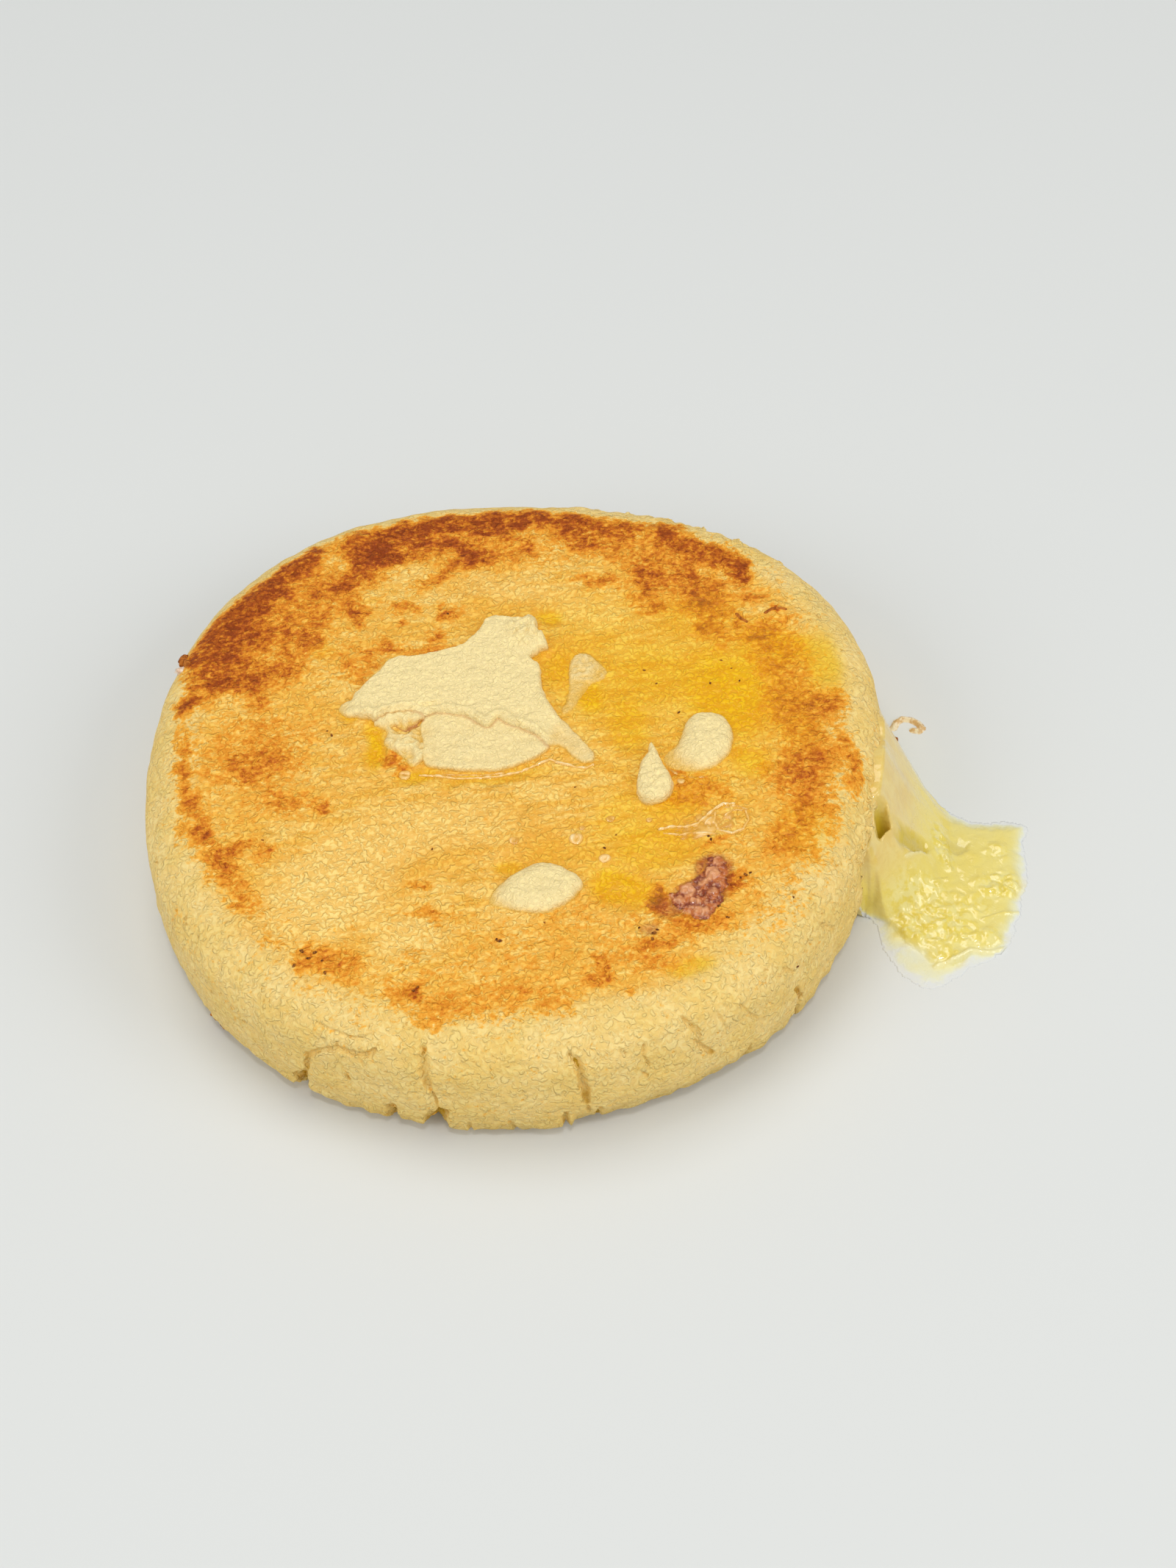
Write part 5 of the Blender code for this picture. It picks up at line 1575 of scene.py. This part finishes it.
CHEESE_ROUGHNESS = (0.08, 0.22)
THIN_MATT = (0.30, 0.05, 0.0, 0.6)
DRAPE_MATT = 0.3
CHEESE_COAT = (0.1, 0.6, 0.0, 0.9)

# The butter from its thinnest, with the face showing through, to its full thickness in millimetres.
BUTTER_COLOURS = (
    (0.0, (0.82, 0.46, 0.06)),
    (0.16, (0.85, 0.54, 0.13)),
    (0.36, (0.88, 0.63, 0.24)),
    (0.62, (0.91, 0.71, 0.32)),
    (0.90, (0.93, 0.745, 0.35)),
)
# The painted shadow in crevices and along the sheet's edge.
BUTTER_CREVICE_SHADOW = (0.50, 0.19, 0.05, 1)
# Painted shade in the grain's dips and painted highlight on its crests: what the colour is multiplied by.
BUTTER_SHADES = (0.93, 1.04)
BUTTER_ROUGHNESS = (0.2, 0.7, 0.2, 0.45)
BUTTER_CRUMB_SIZE = 0.6 * MM

# The set milk skin and the scorched one, likewise.
MILK_COLOURS = (
    (0.0, (0.84, 0.42, 0.04)),
    (0.06, (0.85, 0.45, 0.07)),
    (0.16, (0.88, 0.55, 0.17)),
    (0.28, (0.93, 0.69, 0.33)),
)
MILK_CLEAR = (-0.03, 0.09)
SCORCHED_VALLEYS = ((0.24, 0.040, 0.010, 1), (0.54, 0.15, 0.03, 1))
SCORCHED_VALLEY_VALUES = (0.42, 0.6)
SCORCHED_RIDGE = (0.72, 0.31, 0.125, 1)
SCORCHED_RIDGE_HEIGHTS = (0.20, 0.50)
SCORCHED_FLECK = (0.80, 0.46, 0.23, 1)
SCORCHED_FLECK_VALUES = (0.56, 0.68, 0.0, 0.45)
SCORCHED_EDGE = (0.74, 0.28, 0.02, 1)
SCORCHED_EDGE_HEIGHTS = (0.10, 0.02)
SCORCHED_ROUGHNESS = (0.12, 0.4)
SCORCHED_CLEAR = (-0.02, 0.14)


class Recipe:
    """Adds and links the nodes of one material or group."""

    def __init__(self, tree):
        self.tree = tree

    def add(self, kind, inputs=(), **settings):
        node = self.tree.nodes.new(kind)
        for setting, value in settings.items():
            setattr(node, setting, value)
        for key, value in dict(inputs).items():
            self.feed(node.inputs[key], value)
        return node

    def feed(self, socket, value):
        if isinstance(value, bpy.types.NodeSocket):
            self.tree.links.new(value, socket)
        else:
            socket.default_value = value

    def number(self, operation, first, second=0.0, clamp=False):
        node = self.add("ShaderNodeMath", {0: first, 1: second}, operation=operation, use_clamp=clamp)
        return node.outputs[0]

    def spread(self, value, low, high, bottom=0.0, top=1.0):
        """A value eased from between low and high to between bottom and top."""
        node = self.add("ShaderNodeMapRange", {0: value, 1: low, 2: high, 3: bottom, 4: top},
                        interpolation_type="SMOOTHSTEP")
        return node.outputs[0]

    def mix(self, amount, first, second, how="MIX"):
        node = self.add("ShaderNodeMix", {0: amount, 6: first, 7: second}, data_type="RGBA", blend_type=how)
        return node.outputs[2]

    def lumps(self, place, size, detail=2.0, roughness=0.5, stretch=None, warp=0.0):
        """Noise with features of about one size in metres."""
        if stretch:
            place = self.add("ShaderNodeMapping", {0: place, 3: stretch}).outputs[0]
        node = self.add("ShaderNodeTexNoise",
                        {"Vector": place, "Scale": 1.0 / size, "Detail": detail, "Roughness": roughness,
                         "Distortion": warp})
        return node.outputs[0]

    def ramp(self, value, stops):
        node = self.add("ShaderNodeValToRGB", {0: value})
        ramp = node.color_ramp
        while len(ramp.elements) < len(stops):
            ramp.elements.new(0.5)
        for element, (at, colour) in zip(ramp.elements, stops):
            element.position = at
            element.color = (*colour, 1.0)
        return node.outputs[0]

    def kept(self, name):
        """A value kept on the mesh."""
        return self.add("ShaderNodeAttribute", attribute_name=name).outputs["Fac"]

    def place(self):
        return self.add("ShaderNodeTexCoord").outputs["Object"]

    def times(self, first, second):
        return self.number("MULTIPLY", first, second)

    def blend(self, pattern, values, colours):
        """One of two colours, as a pattern has low or high values."""
        return self.mix(self.spread(pattern, *values), *colours)

    def swayed(self, value, cloud, share):
        """A value made uneven by a cloud."""
        return self.number("ADD", value, self.times(self.number("SUBTRACT", cloud, 0.5), share))

    def grain(self, crumb, place, size):
        """The crumb group's sockets, for a grain of this size."""
        return self.add("ShaderNodeGroup", {"Place": place, "Size": size}, node_tree=crumb).outputs

    def bump(self, shader, height, strength, distance):
        bump = self.add("ShaderNodeBump", {"Strength": strength, "Distance": distance, "Height": height})
        self.feed(shader.inputs["Normal"], bump.outputs[0])


def group(name, inputs, outputs):
    """An empty shader node group with named sockets."""
    tree = bpy.data.node_groups.new(name, "ShaderNodeTree")
    for socket, kind, value in inputs:
        made = tree.interface.new_socket(name=socket, in_out="INPUT", socket_type=kind)
        if value is not None:
            made.default_value = value
    for socket, kind in outputs:
        tree.interface.new_socket(name=socket, in_out="OUTPUT", socket_type=kind)
    recipe = Recipe(tree)
    return recipe, recipe.add("NodeGroupInput").outputs, recipe.add("NodeGroupOutput").inputs


def crumb_group():
    """The grain of a crumb or curd: a height for the bump, and a shade that paints shade into its dips and
    highlight onto its crests.
    """
    recipe, given, result = group(
        "crumb",
        [("Place", PLACE, None), ("Size", NUMBER, CRUMB_SIZE)],
        [("Height", NUMBER), ("Shade", NUMBER)])
    scale = recipe.number("DIVIDE", 1.0, given["Size"])
    fine = recipe.add("ShaderNodeTexNoise", {
        "Vector": given["Place"], "Scale": scale, "Detail": 1.5,
        "Roughness": 0.55, "Distortion": 0.4}).outputs[0]
    broad = recipe.add("ShaderNodeTexNoise", {
        "Vector": given["Place"], "Scale": recipe.times(scale, CRUMB_BROAD_SCALE), "Detail": 2.0,
        "Roughness": 0.6, "Distortion": 0.3}).outputs[0]
    away = recipe.number("ABSOLUTE", recipe.number("SUBTRACT", fine, 0.5))
    knobs = recipe.spread(away, *CRUMB_ROUNDING)
    of_knobs, of_broad, of_fine = CRUMB_HEIGHT_SHARES
    height = recipe.number("ADD", recipe.times(knobs, of_knobs), recipe.times(broad, of_broad))
    recipe.feed(result["Height"], recipe.number("ADD", height, recipe.times(fine, of_fine)))
    of_knobs, of_fine = CRUMB_SHADE_SHARES
    shade = recipe.number("ADD", recipe.times(knobs, of_knobs), recipe.times(fine, of_fine))
    recipe.feed(result["Shade"], shade)
    return recipe.tree


def toasting_group():
    """The griddled face's colour: pale, golden, orange, brown and nearly black where it is toasted."""
    recipe, given, result = group(
        "toasting",
        [("Place", PLACE, None), ("Bare", COLOUR, None), ("Toast", NUMBER, 0.0), ("Face", NUMBER, 0.0),
         ("Pale", NUMBER, 0.0), ("Melt", NUMBER, 0.0), ("Scorch", NUMBER, 0.0)],
        [("Color", COLOUR)])
    place = given["Place"]
    mottle = recipe.lumps(place, 2.4 * MM, detail=4.0, roughness=0.62, warp=0.8)
    fibre = recipe.lumps(place, 1.1 * MM, detail=3.0, roughness=0.6, stretch=(0.75, 1.25, 1.0), warp=0.7)
    fleck = recipe.lumps(place, 0.6 * MM, detail=2.0, roughness=0.6, warp=0.4)
    streak = recipe.lumps(place, 2.2 * MM, detail=4.0, roughness=0.65, stretch=(0.35, 1.5, 1.0), warp=0.4)
    broad = recipe.lumps(place, 12 * MM, detail=3.0, roughness=0.5)
    toast = given["Toast"]
    toasted = recipe.times(toast, TOAST_STRENGTH)
    swings = ((mottle, MOTTLE_SWING), (fibre, FIBRE_SWING), (fleck, FLECK_SWING))
    for pattern, (share, everywhere) in swings:
        swing = recipe.number("ADD", recipe.times(toast, share), everywhere)
        toasted = recipe.swayed(toasted, pattern, swing)
    toasted = recipe.number("MAXIMUM", toasted, 0.0, clamp=True)

    griddled = recipe.blend(streak, NARROW, GRIDDLED_STREAKS)
    griddled = recipe.blend(broad, CLOUD_VALUES, (griddled, GRIDDLED_CLOUD))
    griddled = recipe.mix(recipe.times(given["Pale"], PALE_STRENGTH), griddled, PALE_DOUGH)
    ground = recipe.mix(given["Face"], given["Bare"], griddled)
    colour = recipe.blend(toasted, BROWN_FROM, (ground, recipe.ramp(toasted, BROWNS)))
    soaked = recipe.mix(HONEY_SHARE, recipe.mix(1.0, colour, SOAKED, "MULTIPLY"), HONEY)
    colour = recipe.mix(given["Melt"], colour, soaked)

    glaze = recipe.blend(fleck, NARROW, (SCORCH_LIGHT, SCORCH_DARK))
    glaze = recipe.blend(mottle, SCORCH_RED_VALUES, (glaze, SCORCH_RED))
    recipe.feed(result["Color"], recipe.mix(recipe.times(given["Scorch"], SCORCH_STRENGTH), colour, glaze))
    return recipe.tree


def new_material(name):
    material = bpy.data.materials.new(name)
    material.use_nodes = True
    recipe = Recipe(material.node_tree)
    shader = material.node_tree.nodes["Principled BSDF"]
    return material, recipe, shader


def set_constants(shader, **values):
    for name, value in values.items():
        shader.inputs[name.replace("_", " ")].default_value = value


def crust_material(crumb, toasting):
    """Corn dough: dry and grainy on the wall, griddled on the face, glossy where butter has soaked in."""
    material, recipe, shader = new_material("griddled masa")
    place = recipe.place()
    grain = recipe.grain(crumb, place, CRUMB_SIZE)
    bare = recipe.blend(recipe.lumps(place, 6 * MM, detail=3.0, roughness=0.6), MIDDLING, BARE_DOUGH)
    bare = recipe.blend(recipe.lumps(place, 1.6 * MM, detail=2.0, roughness=0.7), PORE_VALUES, (bare, PORE))
    # Painted shade in the cracks, darker where they are cut deeper.
    bare = recipe.blend(recipe.kept("crack"), CRACK_DEPTHS, (bare, PAINTED_CRACK_SHADE))
    bare = recipe.mix(recipe.kept("hollow"), bare, POCKET_DOUGH)
    # Painted shadow darkening the wall's foot.
    bare = recipe.mix(recipe.kept("foot"), bare, recipe.mix(1.0, bare, FOOT_SHADE, "MULTIPLY"))
    on_face, melt, scorch = recipe.kept("face"), recipe.kept("melt"), recipe.kept("scorch")
    face = recipe.add("ShaderNodeGroup", {
        "Place": place, "Bare": bare, "Toast": recipe.kept("toast"), "Face": on_face,
        "Pale": recipe.kept("pale"), "Melt": melt, "Scorch": scorch}, node_tree=toasting).outputs["Color"]
    # The grain's own tone, with painted shade in its dips and painted highlight on its crests, half as
    # strong off the face.
    grain_shading = recipe.blend(grain["Shade"], GRAIN_SHADE, (GRAIN_DIP_SHADE, GRAIN_CREST_HIGHLIGHT))
    grain_shaded = recipe.mix(1.0, face, grain_shading, "MULTIPLY")
    grain_shading_share = recipe.number("ADD", recipe.times(on_face, 0.5), 0.5)
    recipe.feed(shader.inputs["Base Color"], recipe.mix(grain_shading_share, face, grain_shaded))
    wet = recipe.number("MAXIMUM", melt, scorch)
    dry = recipe.number("SUBTRACT", DOUGH_ROUGHNESS, recipe.times(on_face, FACE_SMOOTHER))
    recipe.feed(shader.inputs["Roughness"], recipe.number("SUBTRACT", dry, recipe.times(wet, WET_SMOOTHER)))
    recipe.feed(shader.inputs["Coat Weight"], recipe.times(wet, WET_COAT))
    standing = recipe.number("SUBTRACT", 1.0, recipe.times(wet, WET_FLATTER))
    recipe.bump(shader, recipe.times(grain["Height"], standing), 1.0, 1.1 * MM)
    set_constants(shader, Specular_IOR_Level=0.16, Coat_Roughness=0.15, Subsurface_Weight=0.06,
                  Subsurface_Radius=(1.0, 0.6, 0.25), Subsurface_Scale=0.8 * MM)
    return material


def cheese_material(crumb):
    """Melted cheese: pale where its film ends, yellow and curdled in the pool, and glossy where thick."""
    material, recipe, shader = new_material("melted cheese")
    place = recipe.place()
    thickness, climb = recipe.kept("thickness"), recipe.kept("climb")
    cloud = recipe.lumps(place, 3.2 * MM, detail=3.0, roughness=0.6, warp=0.5)
    level = recipe.swayed(thickness, cloud, 0.5)
    colour = recipe.ramp(recipe.number("DIVIDE", level, CHEESE_FULL_THICKNESS), CHEESE_COLOURS)
    speck = recipe.lumps(place, 1.3 * MM, detail=2.0, roughness=0.6)
    milk = recipe.blend(speck, NARROW, CURD_COLOURS)
    colour = recipe.mix(recipe.times(recipe.kept("curd"), CURD_STRENGTH), colour, milk)
    colour = recipe.mix(climb, colour, recipe.blend(cloud, MIDDLING, DRAPE_COLOURS))
    # Painted shade in the hollows and by the wall's foot.
    colour = recipe.mix(recipe.kept("deep"), colour, CHEESE_HOLLOW_SHADE)
    # Painted highlight along the raised ridges.
    colour = recipe.mix(recipe.times(recipe.kept("ridge_highlight"), RIDGE_HIGHLIGHT_STRENGTH), colour, RIDGE_HIGHLIGHT_CHEESE)
    recipe.feed(shader.inputs["Base Color"], colour)
    matt = recipe.number("ADD", recipe.spread(thickness, *THIN_MATT), recipe.times(climb, DRAPE_MATT))
    wetness = recipe.spread(cloud, *WIDE, *CHEESE_ROUGHNESS)
    recipe.feed(shader.inputs["Roughness"], recipe.number("ADD", wetness, matt))
    recipe.feed(shader.inputs["Coat Weight"], recipe.spread(thickness, *CHEESE_COAT))
    recipe.bump(shader, recipe.grain(crumb, place, CRUMB_SIZE)["Height"], 0.6, 0.3 * MM)
    set_constants(shader, Specular_IOR_Level=0.4, Coat_Roughness=0.05, Subsurface_Weight=0.0)
    return material


def butter_material(crumb):
    """Soft butter: cream-coloured, and honey-coloured where it is thin enough for the face to show."""
    material, recipe, shader = new_material("soft butter")
    grain = recipe.grain(crumb, recipe.place(), BUTTER_CRUMB_SIZE)
    thickness = recipe.kept("thickness")
    # The grain's own tone, with painted shade in its dips and painted highlight on its crests.
    shade = recipe.spread(grain["Shade"], *MIDDLING, *BUTTER_SHADES)
    colour = recipe.mix(1.0, recipe.ramp(thickness, BUTTER_COLOURS), shade, "MULTIPLY")
    # Painted shadow in the crevice and along the sheet's edge.
    recipe.feed(shader.inputs["Base Color"], recipe.mix(recipe.kept("crevice_shadow"), colour, BUTTER_CREVICE_SHADOW))
    recipe.feed(shader.inputs["Roughness"], recipe.spread(thickness, *BUTTER_ROUGHNESS))
    recipe.bump(shader, grain["Height"], 0.8, 0.7 * MM)
    set_constants(shader, Specular_IOR_Level=0.3, Subsurface_Weight=0.08, Subsurface_Radius=(1.0, 0.8, 0.4),
                  Subsurface_Scale=1.0 * MM)
    return material


def skin_material():
    """Melted butter that has set in lines and bubbles: glossy and nearly clear."""
    material, recipe, shader = new_material("set milk skin")
    cloud = recipe.lumps(recipe.place(), 1.0 * MM, detail=3.0, roughness=0.6)
    level = recipe.swayed(recipe.kept("thickness"), cloud, 0.12)
    recipe.feed(shader.inputs["Base Color"], recipe.ramp(level, MILK_COLOURS))
    recipe.feed(shader.inputs["Alpha"], recipe.spread(level, *MILK_CLEAR))
    set_constants(shader, Roughness=0.15, Specular_IOR_Level=0.5, Coat_Weight=0.4, Coat_Roughness=0.05)
    return material


def scorched_material():
    """Scorched milk: purple brown and glassy, pinkish where its bubbles have thinned it."""
    material, recipe, shader = new_material("scorched milk")
    place = recipe.place()
    thickness = recipe.kept("thickness")
    cloud = recipe.lumps(place, 1.6 * MM, detail=4.0, roughness=0.65, warp=0.5)
    fleck = recipe.lumps(place, 0.5 * MM, detail=2.0, roughness=0.6)
    valley = recipe.blend(cloud, SCORCHED_VALLEY_VALUES, SCORCHED_VALLEYS)
    colour = recipe.blend(thickness, SCORCHED_RIDGE_HEIGHTS, (valley, SCORCHED_RIDGE))
    colour = recipe.blend(fleck, SCORCHED_FLECK_VALUES, (colour, SCORCHED_FLECK))
    colour = recipe.blend(thickness, SCORCHED_EDGE_HEIGHTS, (colour, SCORCHED_EDGE))
    recipe.feed(shader.inputs["Base Color"], colour)
    recipe.feed(shader.inputs["Roughness"], recipe.spread(fleck, *WIDE, *SCORCHED_ROUGHNESS))
    shown = recipe.swayed(thickness, cloud, 0.5)
    recipe.feed(shader.inputs["Alpha"], recipe.spread(shown, *SCORCHED_CLEAR))
    set_constants(shader, Specular_IOR_Level=0.35, Coat_Weight=0.3, Coat_Roughness=0.06)
    return material


def speckled_material(name, dark, light, size):
    """A plain material of two colours, mottled."""
    material, recipe, shader = new_material(name)
    fleck = recipe.lumps(recipe.place(), size)
    recipe.feed(shader.inputs["Base Color"], recipe.blend(fleck, NARROW, ((*dark, 1), (*light, 1))))
    set_constants(shader, Roughness=0.6, Specular_IOR_Level=0.1)
    return material


def floor_material():
    material, _, shader = new_material("pale floor")
    set_constants(shader, Base_Color=FLOOR_COLOUR, Roughness=0.9, Specular_IOR_Level=0.1)
    return material


# ---------------------------------------------------------------- floor, light and camera

def studio():
    """The pale floor, the sky and the lights."""
    bpy.ops.object.select_all(action="DESELECT")
    bpy.ops.mesh.primitive_plane_add(size=FLOOR_SIZE, location=(0, 0, -FLOOR_GAP))
    floor = named("floor")
    floor.data.materials.append(floor_material())
    bpy.ops.object.transform_apply(location=True, rotation=False, scale=False)
    world = bpy.data.worlds.new("studio")
    world.use_nodes = True
    background = world.node_tree.nodes["Background"]
    background.inputs["Color"].default_value = SKY_COLOUR
    background.inputs["Strength"].default_value = SKY_STRENGTH
    bpy.context.scene.world = world
    for name, place, size, power in LIGHTS:
        light = bpy.data.lights.new(name, "AREA")
        light.size = size
        light.energy = power
        lamp = bpy.data.objects.new(name, light)
        lamp.location = place
        lamp.rotation_euler = (-Vector(place)).to_track_quat("-Z", "Y").to_euler()
        bpy.context.scene.collection.objects.link(lamp)
    bpy.context.scene.view_settings.view_transform = "Standard"


def camera():
    view = bpy.data.cameras.new("camera")
    view.lens = CAMERA_LENS
    view.clip_start = CAMERA_NEAR
    placed = bpy.data.objects.new("camera", view)
    towards = Vector(CAMERA_TARGET) - Vector(CAMERA_PLACE)
    level = towards.to_track_quat("-Z", "Y")
    placed.location = CAMERA_PLACE
    placed.rotation_euler = (level @ Quaternion((0, 0, 1), CAMERA_LEAN * DEG)).to_euler()
    bpy.context.scene.collection.objects.link(placed)
    bpy.context.scene.camera = placed


# ---------------------------------------------------------------- putting it together

def dress(piece, material, slot, *nodes):
    """Gives a piece its material, hangs it from the root and hides the parts that it stands in for."""
    piece.data.materials.clear()
    piece.data.materials.append(material)
    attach(piece, "root")
    if nodes:
        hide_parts(*nodes)


# How each pat is shaped, in the order of PATS.
PAT_SHAPES = (sheet_shape, leaf_shape, crumple_shape, strand_shape, round_shape, drop_shape, oval_shape)

# The small pieces' colours, dark and light.
BROWN_CRUST = ((0.26, 0.07, 0.01), (0.52, 0.17, 0.025), 0.6 * MM)
CHAR = ((0.10, 0.03, 0.008), (0.34, 0.12, 0.02), 0.3 * MM)
PALE_FLAKE = ((0.72, 0.50, 0.34), (0.85, 0.72, 0.58), 0.6 * MM)
FRIED_CHEESE = ((0.66, 0.42, 0.18), (0.85, 0.72, 0.48), 0.9 * MM)


def main():
    camera()
    studio()
    crumb = crumb_group()
    masa = crust_material(crumb, toasting_group())
    melted = cheese_material(crumb)
    soft = butter_material(crumb)
    dress(crust(), masa, "masa", "arepa_cake")
    dress(cheese(), melted, "cheese", "cheese_filling")
    for (name, node, outline, thickness, edge), shape_of in zip(PATS, PAT_SHAPES):
        dress(butter_pat(name, outline, thickness, edge, shape_of), soft, "butter", node)
    dress(milk_skin(), skin_material(), "butter")
    dress(scorched_skin(), scorched_material(), "masa")
    brown_crust = speckled_material("brown crust", *BROWN_CRUST)
    dress(specks(), speckled_material("char", *CHAR), "masa")
    dress(crumbs("burnt_crumbs", BURNT_CRUMBS, CRUMB_FLATNESS), brown_crust, "masa")
    dress(curled_flakes(), brown_crust, "masa")
    dress(masa_crumbs(), masa, "masa")
    pale_flake = speckled_material("pale flake", *PALE_FLAKE)
    dress(crumbs("pale_flakes", PALE_FLAKES, FLAKE_FLATNESS), pale_flake, "cheese")
    dress(fried_curl(), speckled_material("fried cheese", *FRIED_CHEESE), "cheese")


main()
